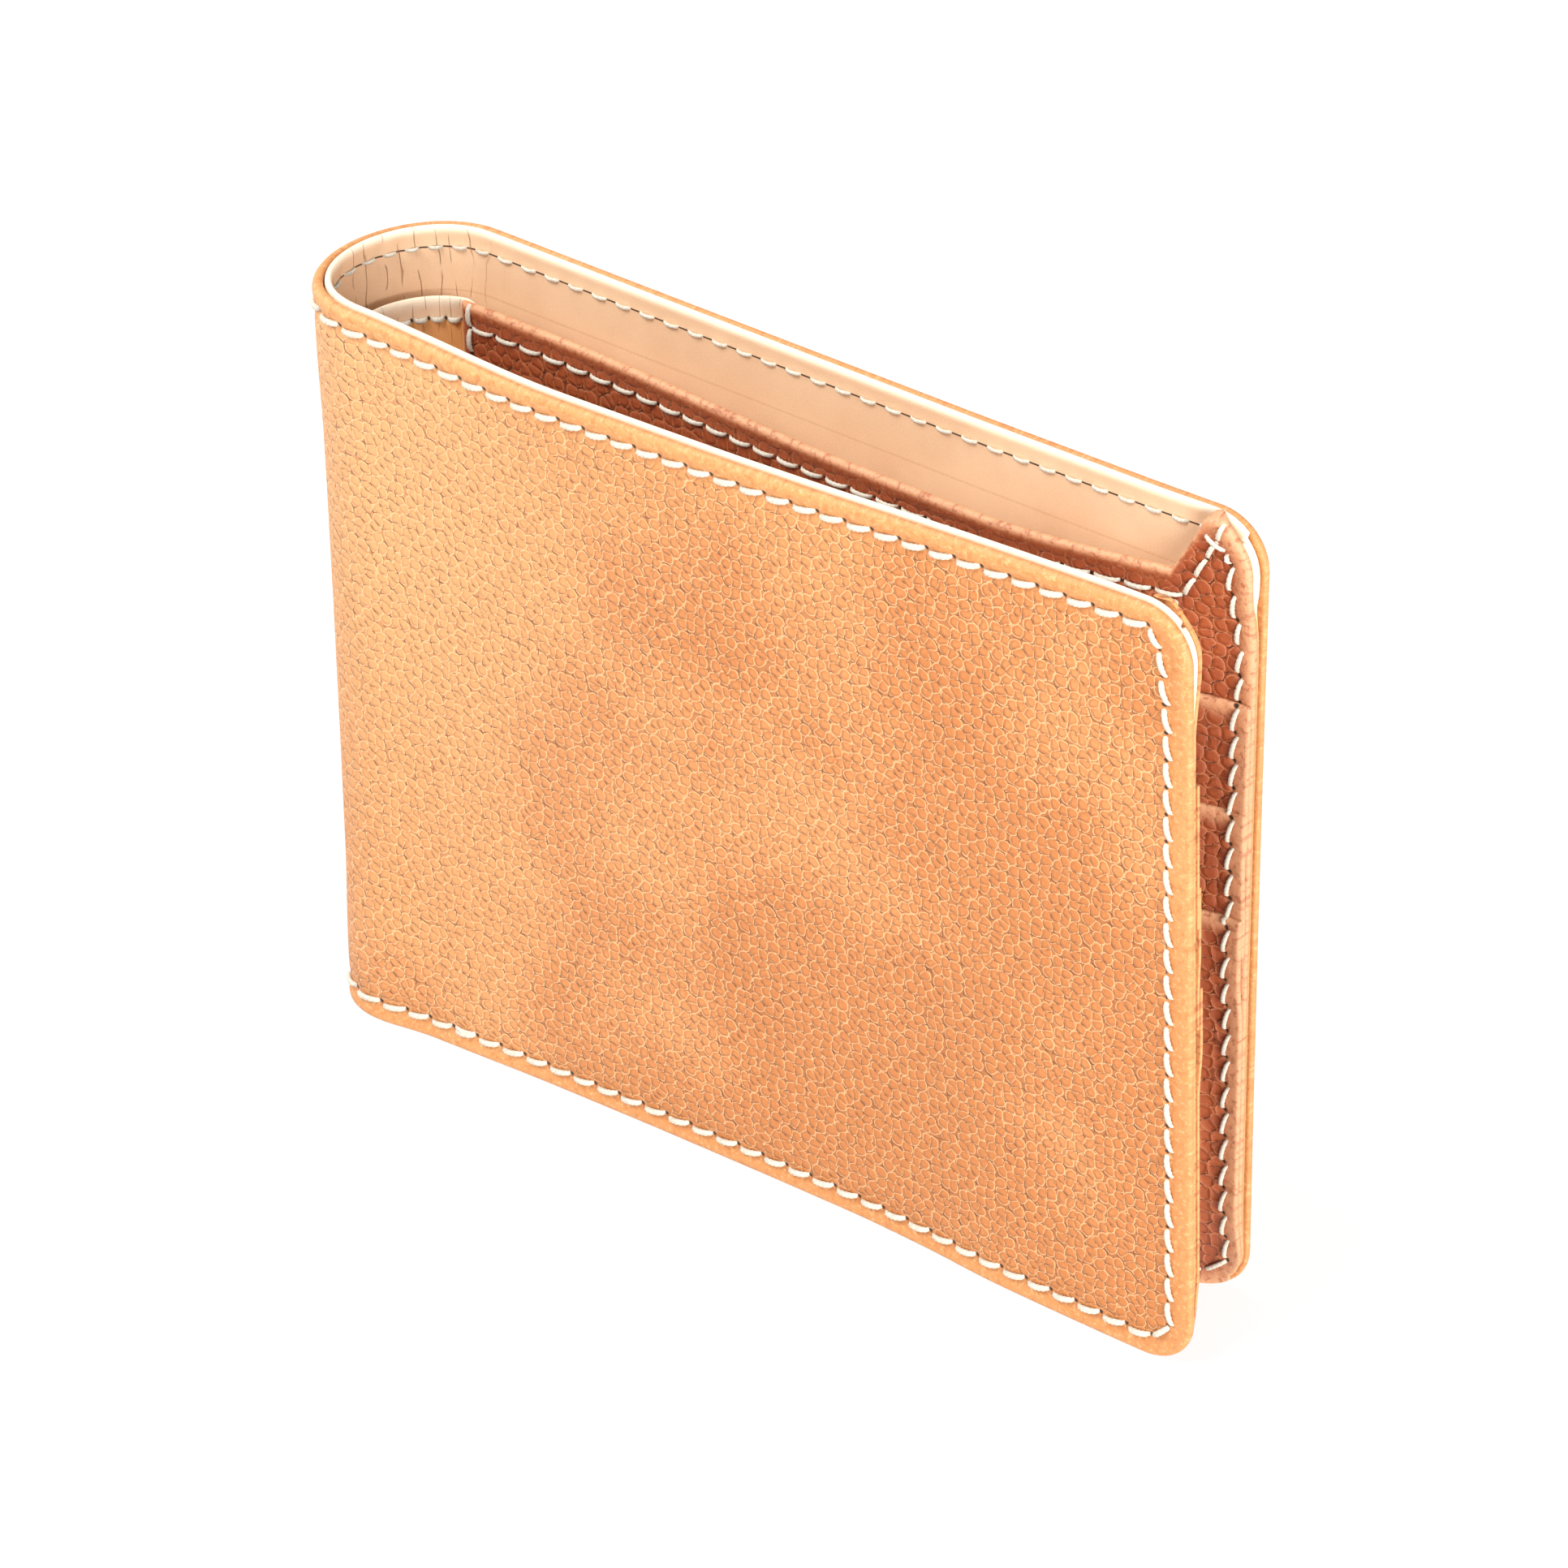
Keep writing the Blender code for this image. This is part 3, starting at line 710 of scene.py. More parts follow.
def grained(name, colours, cell, patch_shift, painted_light_and_shade, margin, turn):
    """Pebbled leather: domed cells with thin pale rims, dark creases between them and soft deeper patches.
    The pale rims are partly painted highlight, the creases partly painted shadow, and a darker ring inside
    each cell painted shade, all of the cells' relief.

    colours are the base, the deeper patches, the paler parts (a painted sheen near the spine's top, and
    flecks), the rims of the cells, the creases, and the smooth turned edge on the back half and on the front
    half, which on the card leather is lighter, partly as painted highlight. margin is where the grain fades
    towards an edge. turn is where the edge colour starts to fade, and where it ends at the free ends and
    elsewhere. Both are in mm from the edge.
    """
    base, deep, rim, ring, crease, smooth_edge, front_edge = colours
    made = Finish(name, 0.52)
    uv = made.uv()
    wobble = made.vector("SUBTRACT", made.noise(uv, 45, 2, output="Color"), (0.5, 0.5, 0.5))
    bent = made.vector("ADD", uv, made.vector("SCALE", wobble, scale=0.007))
    per_unit = UV_UNIT / cell
    border = made.cells(bent, per_unit, "DISTANCE_TO_EDGE").outputs["Distance"]
    centre = made.cells(bent, per_unit)
    away = made.vector("SUBTRACT", bent, centre.outputs["Position"])
    # Painted shadow of the relief: the dark crease strokes are kept only where a cell's border lies along one
    # slant, as the side that a slanting light leaves in shade; partly the creases' own dark colour.
    sideways = made.vector("DOT_PRODUCT", made.vector("NORMALIZE", away), (-0.66, 0.75, 0))
    shaded_slant = made.ramp(made.apart(sideways), 0.7, 0.92)
    fine = made.noise(uv, 700, 3, 0.6)
    disc = made.math("SUBTRACT", 0.57, centre.outputs["Distance"])
    rounded = made.math("SMOOTH_MIN", border, disc, 0.12)
    uneven = made.math("MULTIPLY_ADD", fine, 0.09, -0.045)
    within_cell = made.math("ADD", rounded, uneven)
    inside = made.ramp(made.attribute("edge"), *margin)
    strength = made.math("MULTIPLY_ADD", inside, 0.85, 0.15)
    broken = made.ramp(made.noise(uv, 95, 2), 0.42, 0.52)
    line = made.ramp(made.math("ADD", border, uneven), 0.03, 0.09, 1.0, 0.0)
    creases = made.times(line, shaded_slant, broken, strength)
    # Painted highlight: a thin pale rim just inside each cell's border, as its raised rim catching the light;
    # partly the grain's paler veins.
    rims = made.times(made.ramp(within_cell, 0.0, 0.05, 1.0, 0.0), made.ramp(within_cell, -0.06, -0.02))
    gaps = made.times(made.ramp(within_cell, -0.08, -0.03, 1.0, 0.0), strength)
    # Painted shade: a darker ring inside each cell, round its dome.
    hollow = made.times(made.ramp(rounded, 0.06, 0.13), made.ramp(rounded, 0.16, 0.34, 1.0, 0.0))
    split = made.node("ShaderNodeSeparateXYZ", {"Vector": uv})
    from_spine = made.apart(split.outputs["X"])
    # Painted light and shade: the tone is lighter towards the spine and the top, and deeper further from the
    # spine and towards the foot, as the lamps fall on the cover.
    along = made.ramp(from_spine, 0.15, 0.75, -painted_light_and_shade, painted_light_and_shade, "LINEAR")
    down = made.ramp(split.outputs["Y"], 0.05, 0.65, painted_light_and_shade, -painted_light_and_shade * 0.6, "LINEAR")
    clouds = made.noise(made.vector("ADD", uv, patch_shift), 4.2, 3, 0.5)
    tone = made.ramp(made.math("ADD", clouds, made.math("ADD", along, down)), 0.34, 0.78, 0.0, 0.9)
    mottled = made.math("MULTIPLY_ADD", made.noise(uv, 170, 3, 0.65), 0.7, -0.3)
    sunken = made.times(hollow, strength, 0.45)
    color = made.mix(made.math("ADD", made.math("ADD", tone, mottled), sunken), base, deep)
    # Painted sheen: near the spine, most towards the top, the colour is lifted towards the paler colour, as
    # light from the left glancing off the curve.
    pale = made.ramp(from_spine, 0.15, 0.6, painted_light_and_shade * 3, 0.0)
    pale = made.times(pale, made.ramp(split.outputs["Y"], 0.1, 0.75, 0.25, 1.0))
    color = made.mix(pale, color, rim)
    color = made.mix(made.times(gaps, 0.3), color, crease)
    color = made.mix(made.times(rims, strength, 0.55), color, ring)
    color = made.mix(made.times(creases, 0.9), color, crease)
    # The smooth turned edge's colour: on the card leather lighter than the grain, partly its own smoother
    # finish, partly painted highlight on the rounded edge.
    at_end = made.ramp(from_spine, *[(BACK_END - gap) / UV_UNIT for gap in END_BAND])
    wide = made.math("MULTIPLY_ADD", at_end, turn[1] - turn[2], turn[2])
    at_edge = made.ramp(made.attribute("edge"), turn[0], wide, 0.75, 0.0)
    on_front = made.ramp(split.outputs["X"], -0.05, 0.05, 1.0, 0.0)
    color = made.mix(at_edge, color, made.mix(on_front, smooth_edge, front_edge))
    outside = made.math("SUBTRACT", 1.0, inside)
    flecks = made.times(made.ramp(made.noise(uv, 170, 4, 0.75), 0.5, 0.68), outside)
    color = made.mix(made.times(flecks, 0.65), color, rim)
    spots = made.times(made.ramp(made.noise(uv, 120, 4, 0.7), 0.5, 0.34), outside)
    color = made.mix(made.times(spots, 0.6), color, deep)
    # Painted shade in the stitch holes.
    color = made.mix(made.ramp(made.attribute("hole"), 0.48, 0.75), color, HOLE_SHADE)
    dome = made.ramp(rounded, -0.06, 0.3)
    height = made.times(dome, strength)
    height = made.math("SUBTRACT", height, made.times(creases, 0.8))
    height = made.math("MULTIPLY_ADD", fine, 0.4, height)
    made.bump(height, 0.12 * MM, 1.0)
    return made.finish(color)


CRACKS_END = (15 * MM, 7 * MM)  # from the top of the cover, where the cracks fade
SLIT_HALF = 0.62 * MM  # half the length of a slit
SLIT_EDGE = (0.05 * MM, 0.13 * MM)  # from its middle line, where it fades


def cracked(made, uv):
    """Fine upright cracks where the leather is folded round the spine's top, as a factor."""
    split = made.node("ShaderNodeSeparateXYZ", {"Vector": uv})
    sway = made.noise(made.stretch(uv, (40, 12, 1)), 1.0, 2, 0.5)
    across = made.math("MULTIPLY_ADD", sway, 1.3, made.math("MULTIPLY", split.outputs["X"], 44.0))
    off = made.apart(made.math("FRACT", across), 0.5)
    line = made.ramp(off, 0.0, 0.05, 1.0, 0.0)
    kept = made.ramp(made.noise(made.stretch(uv, (34, 30, 1), (3, 7, 0)), 1.0, 2), 0.38, 0.54)
    near_spine = made.ramp(made.apart(split.outputs["X"]), 0.12, 0.19, 1.0, 0.0)
    near_top = made.ramp(split.outputs["Y"], *[(HEIGHT - down) / UV_UNIT for down in CRACKS_END])
    return made.times(line, kept, near_spine, near_top)


def slits(made, split):
    """The painted shade of the slits between the stitches of the liner's hem seam, as a factor."""
    phase = LAST_HOLE["front"] / PITCH
    place = made.math("MULTIPLY_ADD", split.outputs["X"], UV_UNIT / PITCH, phase + 0.5)
    off = made.apart(made.math("FRACT", place), 0.5)
    along = made.ramp(off, SLIT_HALF / PITCH * 0.8, SLIT_HALF / PITCH, 1.0, 0.0)
    above = made.apart(split.outputs["Y"], HEM / UV_UNIT)
    return made.times(along, made.ramp(above, *[edge / UV_UNIT for edge in SLIT_EDGE], 1.0, 0.0))


CREAM_ENDS = (4 * MM, 1 * MM)  # below the panels' tops, where the cream edge fades
SCORED_LINE = HEM - 4.8 * MM  # height of the faint line along the liner


def smooth_leather(name, base, deep, cream, cream_width, below=None):
    """Smooth leather: fine flecks, a cream turned edge, partly painted highlight, and cracks at the spine's
    top.

    The cream edge is cream_width mm wide. With a colour below, the inner face has it under the panels' seam.
    Without one this is the liner, with a faint scored line and painted shade in the slits between its
    stitches.
    """
    made = Finish(name, 0.6)
    uv = made.uv()
    flecks = made.noise(uv, 600, 4, 0.7)
    clouds = made.ramp(made.noise(uv, 5.5, 4, 0.6), 0.32, 0.7)
    color = made.mix(clouds, base, deep)
    color = made.mix(made.ramp(flecks, 0.3, 0.75, -0.1, 0.3), color, cream)
    split = made.node("ShaderNodeSeparateXYZ", {"Vector": uv})
    height_uv = split.outputs["Y"]
    if below:
        borders = [(PANEL_HEM + step) / UV_UNIT for step in (-0.4 * MM, 0.1 * MM)]
        under = made.ramp(height_uv, *borders, 1.0, 0.0)
        color = made.mix(made.times(under, made.attribute("inside")), color, below)
    else:
        off_line = made.apart(height_uv, SCORED_LINE / UV_UNIT)
        line = made.ramp(off_line, 0.0006, 0.0018, 0.35, 0.0)
        color = made.mix(made.times(line, made.ramp(flecks, 0.35, 0.6)), color, (0.5, 0.2, 0.08))
        # Painted shade in the slits between the liner's stitches.
        dark = made.times(slits(made, split), made.attribute("inside"))
        color = made.mix(dark, color, (0.06, 0.03, 0.015))
    cracks = cracked(made, uv)
    color = made.mix(made.times(cracks, 0.75), color, (0.42, 0.18, 0.08))
    # The cream turned edge: partly its own cream colour, partly painted highlight where the rolled edge faces
    # up to the light.
    rim = made.ramp(made.attribute("edge"), cream_width * 0.1, cream_width, 0.95, 0.0)
    high_up = made.ramp(height_uv, *[(PANEL_TOP - down) / UV_UNIT for down in CREAM_ENDS])
    color = made.mix(made.times(rim, high_up), color, cream)
    # Painted shade in the stitch holes.
    color = made.mix(made.ramp(made.attribute("hole"), 0.4, 0.75), color, (0.05, 0.025, 0.012))
    height = made.math("SUBTRACT", made.times(flecks, 0.35), cracks)
    made.bump(height, 0.1 * MM, 0.9)
    return made.finish(color)


def thread_finish():
    made = Finish("waxed_thread", 0.6)
    fibres = made.noise(made.place(), 4000, 3, 0.6, dimensions="3D")
    color = made.mix(made.ramp(fibres, 0.3, 0.7), (0.50, 0.45, 0.36), (0.68, 0.63, 0.53))
    made.bump(fibres, 0.03 * MM, 0.6)
    return made.finish(color)


def woven_finish():
    made = Finish("pocket_lining", 0.85)
    uv = made.uv()
    waves = []
    for turn in (0.0, math.pi / 2):
        inputs = {"Vector": made.stretch(uv, (1, 1, 1), turn=turn), "Scale": 60.0, "Distortion": 0.4}
        waves.append(made.node("ShaderNodeTexWave", inputs).outputs["Fac"])
    weave = made.times(*waves)
    color = made.mix(weave, (0.22, 0.12, 0.06), (0.38, 0.22, 0.12))
    made.bump(weave, 0.08 * MM, 0.8)
    return made.finish(color)


# The layers


def flat(depth):
    """A face that follows the cover at a depth."""
    return lambda s, z: depth + 0 * s


def on_wall(depth):
    """A face that follows the compartment's inner wall."""
    return lambda s, z: depth + belly(s, z)


UPRIGHTS = {side: upright_holes(side, COLUMN_INSET, FOOT_INSET) for side in SIDES}
CARD_UPRIGHTS = {side: upright_holes(side, CARD_INSET, CARD_INSET) for side in SIDES}
SEAM_COLUMNS = [SIDES[side] * (ENDS[side] - COLUMN_INSET) for side in SIDES]


def shifted(holes, along, up):
    """The ends of the holes, which show beside the stitches, where their dents and painted shade go."""
    return [hole + np.array([along, up]) for hole in holes]


RING_HOLES = shifted(HEM_HOLES + FOOT_HOLES, 0, 0.22 * MM)
for side, sign in SIDES.items():
    RING_HOLES += shifted(UPRIGHTS[side], -sign * 0.28 * MM, 0.12 * MM)


MARGIN_PUFF = -0.26 * MM  # outwards, between the cover's edge and its seam, and beyond the seam
INNER_PUFF = -0.16 * MM
TURNED_EDGE = 0.1 * MM  # how much a turned edge adds inwards
ROLLED_EDGE = 0.15 * MM
PANEL_PUFF = 0.16 * MM
PUCKER = 0.09 * MM  # the liner's small wrinkles below its seam at the spine
PUCKER_LENGTH = 2.9 * MM


def cover_swell(s, z, edge):
    """The cover puffs up on both sides of its seam, and its turned edge is thicker."""
    in_margin = np.clip(edge / SEAM_INSET, 0, 1)
    margin = MARGIN_PUFF * np.sin(math.pi * in_margin**0.8)
    fade = 1 - smooth((edge - 7 * MM) / (12 * MM))
    beyond = INNER_PUFF * smooth((edge - SEAM_INSET) / (2.5 * MM)) * fade
    return np.where(edge < SEAM_INSET, margin, beyond), TURNED_EDGE * (1 - smooth(edge / (2 * MM)))


def liner_swell(s, z, edge):
    """The liner's turned edge is rolled, so it is thicker."""
    roll = 1 - smooth((edge - 0.2 * MM) / (1.6 * MM))
    puckers = np.sin(2 * math.pi * s / PUCKER_LENGTH + 3 * np.sin(z / (4 * MM)))
    puckers = puckers * hill(s, 0, 11 * MM) * hill(z, HEM, 5 * MM) * smooth(edge / (1.5 * MM))
    return TURNED_EDGE * roll, ROLLED_EDGE * roll + PUCKER * puckers


SEWN_STACK = 0.3  # share of a leaf's step that is left at the seams
STACK_EASE = 9.0 * MM  # from a seam to where the steps are full
LINING_INSET = 5.0 * MM  # from the seams
CARD_THREAD = 0.82
LINER_DASHES = {"reach": (0.18, 0.82), "thick": 0.72}
COVER_STITCHES = {"shift": -0.06 * MM, "slant": 0.2 * MM, "thick": 1.15}
DOUBLED_STITCH = {"shift": 0.3 * MM, "thick": 0.85}
UPRIGHT_SLANT = 0.3 * MM
SEAM_THREAD = 0.9


def panel_swell(s, z, edge):
    """A panel's folded edge is fuller, and is pulled in at its seam."""
    in_margin = np.clip(edge / CARD_INSET, 0, 1)
    above_leaves = smooth((z - LEAF_TOPS[0] - MM) / (2 * MM))
    return 0 * s, PANEL_PUFF * np.sin(math.pi * in_margin**0.7) * above_leaves


def panel_face(s, z):
    """Depth of a panel's outer face. Its tip at the free end is folded over the liner's edge."""
    over = smooth((z - HEIGHT + 0.2 * MM) / (0.8 * MM))
    return PANEL_DEPTH + belly(s, z) - (PANEL_DEPTH - LINER_DEPTH) * over


COVER = Sheet(
    0.0, HEIGHT, -FRONT_END, BACK_END,
    flat(0.0), COVER_THICKNESS,
    roll=(0.9 * MM, 0.35 * MM),
    holes_out=RING_HOLES,
    swell=cover_swell,
    marks_s=SEAM_COLUMNS,
    marks_z=[FOOT_INSET, HEM],
)
LINER = Sheet(
    EDGE_STEP, HEIGHT + 0.2 * MM, -FRONT_END + EDGE_STEP, BACK_END - EDGE_STEP,
    flat(LINER_DEPTH), LINER_THICKNESS,
    inset=EDGE_STEP,
    roll=(0.5 * MM, 0.8 * MM),
    swell=liner_swell,
    tuck=0.5 * MM,
    marks_z=[HEM],
    spacing=(PITCH / 6, 1.0 * MM),
)
DIVIDER = Sheet(
    EDGE_STEP, PANEL_TOP, -FRONT_END + EDGE_STEP, BACK_END - EDGE_STEP,
    on_wall(DIVIDER_DEPTH), DIVIDER_THICKNESS,
    inset=EDGE_STEP,
    stepped=True,
    sunk=True,
    roll=(0.6 * MM, 0.8 * MM),
    holes_in=level_holes(PANEL_HEM, -PANEL_NEAR["front"], PANEL_NEAR["back"]),
    marks_z=[PANEL_HEM, FOOT_INSET],
    spacing=(PITCH / 6, 1.2 * MM),
)

# The outer wall's stretches along s: name, start, end, bodies before and after, and the frame's name for it
SPANS = [
    ("front_far", -FRONT_END, -MIDDLES["front"], "half_front", "wall_front", "front"),
    ("front_near", -MIDDLES["front"], -SPINE_END, "wall_front", "half_front", "front"),
    ("spine_front", -SPINE_END, -SEGMENT_END, "half_front", "spine_2", "spine_2"),
    ("spine_middle", -SEGMENT_END, SEGMENT_END, "spine_2", "spine_1", "spine_1"),
    ("spine_back", SEGMENT_END, SPINE_END, "spine_1", "half_back", "spine_1"),
    ("back_near", SPINE_END, MIDDLES["back"], "half_back", "wall_back", "back"),
    ("back_far", MIDDLES["back"], BACK_END, "wall_back", "half_back", "back"),
]


def join(piece, start, end, before, after, depths):
    """Bakes a piece's transform into its mesh. The bodies before and after are not used.

    It works out the direction from s = start to s = end through the layers' depths, which nothing uses.
    """
    heights = np.linspace(0, HEIGHT, 9)
    z, depth = np.meshgrid(heights, depths)
    one = place(start + 0 * z, z, depth).reshape(-1, 3)
    two = place(end + 0 * z, z, depth).reshape(-1, 3)
    direction = two.mean(0) - one.mean(0)
    direction /= np.linalg.norm(direction)
    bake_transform(piece)


def finish_piece(piece, slot, *nodes):
    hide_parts(*nodes)


def joined_piece(piece, span, slot, *nodes):
    """A piece whose transform join() bakes in, with its frame parts hidden. span holds what join() takes
    after the piece.
    """
    join(piece, *span)
    finish_piece(piece, slot, *nodes)


def rigid_piece(piece, body, slot, *nodes):
    """A piece that moves with one body and doesn't bend."""
    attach(piece, body)
    finish_piece(piece, slot, *nodes)


COVER_SINK = 0.06 * MM  # how far the threads lie in the leather
LINER_SINK = 0.03 * MM
BLEND_ROOM = (0.5 * MM, 0.6 * MM)  # what stands out of the outer wall's faces, outside and inside


def build_outer_wall(cover_leather, liner_leather, thread):
    """The cover, its liner and the seams through them, in seven stretches."""
    liner_inner = LINER_DEPTH + LINER_THICKNESS
    on_cover, in_liner = flat(COVER_SINK), flat(liner_inner - LINER_SINK)
    depths = (-BLEND_ROOM[0], liner_inner + BLEND_ROOM[1])
    for name, start, end, before, after, cad in SPANS:
        span = (start, end, before, after, depths)
        piece = build_sheet(f"cover_{name}", COVER, start, end, cover_leather)
        joined_piece(piece, span, "cover_leather", f"cover_{cad}")
        first, last = max(start, LINER.near), min(end, LINER.far)
        piece = build_sheet(f"liner_{name}", LINER, first, last, liner_leather)
        joined_piece(piece, span, "liner_leather", f"liner_{cad}")
        outer = level_stitches(HEM_HOLES, start, end, on_cover, -1, **COVER_STITCHES)
        outer += level_stitches(FOOT_HOLES, start, end, on_cover, -1, **COVER_STITCHES)
        outer += doubled(FOOT_HOLES, start, end, on_cover)
        if name.endswith("far"):
            side = name[: -len("_far")]
            outer += upright_stitches(side, UPRIGHTS[side], FOOT_INSET, on_cover, -1)
        piece = build_stitches(f"stitches_cover_{name}", outer, thread)
        joined_piece(piece, span, "waxed_thread", f"hem_thread_outer_{cad}", f"edge_thread_outer_{cad}")
        inner = level_stitches(HEM_HOLES, start, end, in_liner, 1, **LINER_DASHES)
        piece = build_stitches(f"stitches_liner_{name}", inner, thread)
        joined_piece(piece, span, "waxed_thread", f"hem_thread_inner_{cad}")


def within(stitches, start, end):
    """The stitches whose middles lie from s = start to end."""
    return [one for one in stitches if start <= (one["start"][0] + one["end"][0]) / 2 < end]


def level_stitches(holes, start, end, surface, outward, **more):
    """The stitches of a level seam from s = start to end."""
    return within(run_of(holes, surface, outward, **more), start, end)


def doubled(holes, start, end, surface):
    """The second pass of thread over one stitch, where the seam was begun."""
    first = min(holes, key=lambda hole: abs(hole[0] - SEAM_START))
    second = first + np.array([PITCH, 0])
    return within(run_of([first, second], surface, -1, **DOUBLED_STITCH), start, end)


def upright_stitches(side, uprights, foot, surface, outward, **more):
    """Up the free end of one half, with the diagonal stitches at its two corners."""
    sign = SIDES[side]
    last = sign * LAST_HOLE[side]
    slant = UPRIGHT_SLANT * sign * outward
    corner_low = run_of([(last, foot), uprights[0]], surface, outward, **more)
    corner_high = run_of([uprights[-1], (last, HEM)], surface, outward, **more)
    return corner_low + run_of(uprights, surface, outward, slant=slant, **more) + corner_high


# The inner wall's stretches along s: name, start, end, bodies before and after, and the frame's names for
# the sheet and for the strip's thread
INNER_SPANS = [
    ("front", -SPINE_END, -SEGMENT_END, "half_front", "spine_2", ("front", "spine_2"), "spine_2"),
    ("spine", -SEGMENT_END, SEGMENT_END, "spine_2", "spine_1", ("spine_1", "spine_2"), "spine_1"),
    ("back", SEGMENT_END, SPINE_END, "spine_1", "half_back", ("back", "spine_1"), "spine_1"),
]
INNER_DEPTHS = (DIVIDER_DEPTH, PANEL_DEPTH + BELLY_AT_BACK)


def build_divider(finish):
    """The compartment's inner wall and spine strip, in three stretches."""
    for name, start, end, before, after, nodes, _ in INNER_SPANS:
        first = DIVIDER.near if name == "front" else start
        last = DIVIDER.far if name == "back" else end
        piece = build_sheet(f"divider_{name}", DIVIDER, first, last, finish)
        span = (start, end, before, after, INNER_DEPTHS)
        joined_piece(piece, span, "liner_leather", *[f"divider_{node}" for node in nodes])


def build_strip_stitches(thread):
    """The seams of the inner wall round the spine: along its top and along the bottom."""
    surface = on_wall(DIVIDER_DEPTH + DIVIDER_THICKNESS)
    for name, start, end, before, after, _, cad in INNER_SPANS:
        first = -PANEL_NEAR["front"] if name == "front" else start
        last = PANEL_NEAR["back"] if name == "back" else end
        stitches = []
        for height in (PANEL_HEM, CARD_INSET):
            holes = level_holes(height, -FRONT_END, BACK_END)
            stitches += level_stitches(holes, first, last, surface, 1, reach=(0.1, 0.9))
        piece = build_stitches(f"stitches_strip_{name}", stitches, thread)
        span = (start, end, before, after, INNER_DEPTHS)
        joined_piece(piece, span, "waxed_thread", f"strip_thread_{cad}", f"edge_thread_inner_{cad}")


def seam_share(number, z):
    """How much of its step a leaf keeps at its seams. Below the other leaves it lies on the panel."""
    if number == 0:
        return 0.0
    return SEWN_STACK * smooth((z - LEAF_BOTTOMS[number - 1] + 8 * MM) / (6 * MM))


def stack_share(side, s, at_seams):
    """1 in the middle of a half and less at its seams, where the pocket leaves are pressed together."""
    from_free_end = smooth((free_end(s) - CARD_INSET) / STACK_EASE)
    from_seam = smooth((np.abs(s) - PANEL_NEAR[side] - PANEL_SEAM_INSET) / STACK_EASE)
    return at_seams + (1 - at_seams) * from_free_end * from_seam


def leaf_face(side, number):
    """Depth of a leaf's outer face. number counts from 0 at the panel."""

    def depth(s, z):
        step = LEAF_STEP * number * stack_share(side, s, seam_share(number, z))
        return LEAF_DEPTH - 0.1 * MM + step + belly(s, z)

    return depth


def leaf_inner_face(side, number):
    return lambda s, z: leaf_face(side, number)(s, z) + LEAF_THICKNESS


def card_surface(side):
    """Depth of what shows on the card side of one half: the panel, or the leaf that covers it there."""

    def depth(s, z):
        found = panel_face(s, z) + PANEL_THICKNESS
        for number, top in enumerate(LEAF_TOPS):
            found = np.where(z < top, leaf_inner_face(side, number)(s, z), found)
        return found

    return depth


def ordered(side, near, far):
    return (near, far) if side == "back" else (-far, -near)


def build_card_side(side, leather, lining, thread):
    """The card panel of one half, its pocket leaves, the linings behind them and the seams through them."""
    half, sign = f"half_{side}", SIDES[side]
    free = ENDS[side] - EDGE_STEP
    start, end = ordered(side, PANEL_NEAR[side], free)
    hem_near = PANEL_NEAR[side] + PANEL_SEAM_INSET
    step_low, step_high = step_line(side)
    hem_holes = even_holes((sign * hem_near, PANEL_HEM), step_low)
    step_holes = even_holes(step_low, step_high, 2.5 * MM)
    seam_holes = even_holes((sign * hem_near, CARD_INSET), (sign * hem_near, PANEL_HEM))
    ring = CARD_UPRIGHTS[side]
    over_top = [(sign * hem_near, PANEL_HEM), (sign * hem_near, PANEL_TOP + 0.1 * MM)]
    over_rim = [step_high, (sign * (ENDS[side] - 3.4 * MM), HEIGHT - 0.3 * MM)]
    crossing = [step_high + MM * np.array([sign * along, up]) for along, up in CROSSING]
    round_corner = crossing + [ring[-1]]
    panel = Sheet(
        FOOT_GAP, PANEL_TOP + 0.15 * MM, start, end,
        panel_face, PANEL_THICKNESS,
        inset=EDGE_STEP,
        stepped=True,
        roll=(0.1 * MM, 0.6 * MM),
        holes_in=hem_holes + step_holes + seam_holes + ring,
        swell=panel_swell,
        tip=TIP,
        marks_s=[sign * hem_near, sign * (ENDS[side] - CARD_INSET)],
        marks_z=[PANEL_HEM, PANEL_TOP - 0.8 * MM],
    )
    piece = build_sheet(f"card_panel_{side}", panel, start, end, leather)
    rigid_piece(piece, half, "card_leather", f"card_panel_{side}")
    for number, pocket in enumerate(POCKETS):
        build_leaf(side, number, pocket, leather, ring + seam_holes)
        if pocket < POCKETS[-1]:
            build_lining(side, number, pocket, lining)
    surface = card_surface(side)
    on_panel = run_of(hem_holes + step_holes[1:], surface, 1, thick=CARD_THREAD)
    on_panel += run_of(over_rim, surface, 1, thick=CARD_THREAD, reach=(0.0, 1.0))
    piece = build_stitches(f"stitches_panel_hem_{side}", on_panel, thread)
    rigid_piece(piece, half, "waxed_thread", f"panel_hem_thread_{side}")
    on_seam = run_of(seam_holes, surface, 1, thick=SEAM_THREAD)
    on_seam += run_of(over_top, surface, 1, thick=SEAM_THREAD, reach=(0.0, 1.0))
    piece = build_stitches(f"stitches_panel_seam_{side}", on_seam, thread)
    rigid_piece(piece, half, "waxed_thread", f"panel_seam_thread_{side}")
    foot = level_holes(CARD_INSET, *ordered(side, hem_near, LAST_HOLE[side]))
    edge_run = run_of(foot, surface, 1, thick=CARD_THREAD)
    edge_run += upright_stitches(side, ring, CARD_INSET, surface, 1, thick=CARD_THREAD)[:-1]
    edge_run += run_of(round_corner, surface, 1, thick=CARD_THREAD)
    piece = build_stitches(f"stitches_card_edge_{side}", edge_run, thread)
    rigid_piece(piece, half, "waxed_thread", f"edge_thread_inner_{side}")


SEWN_WIDTH = 3.5 * MM  # of a leaf's sides, which are held still


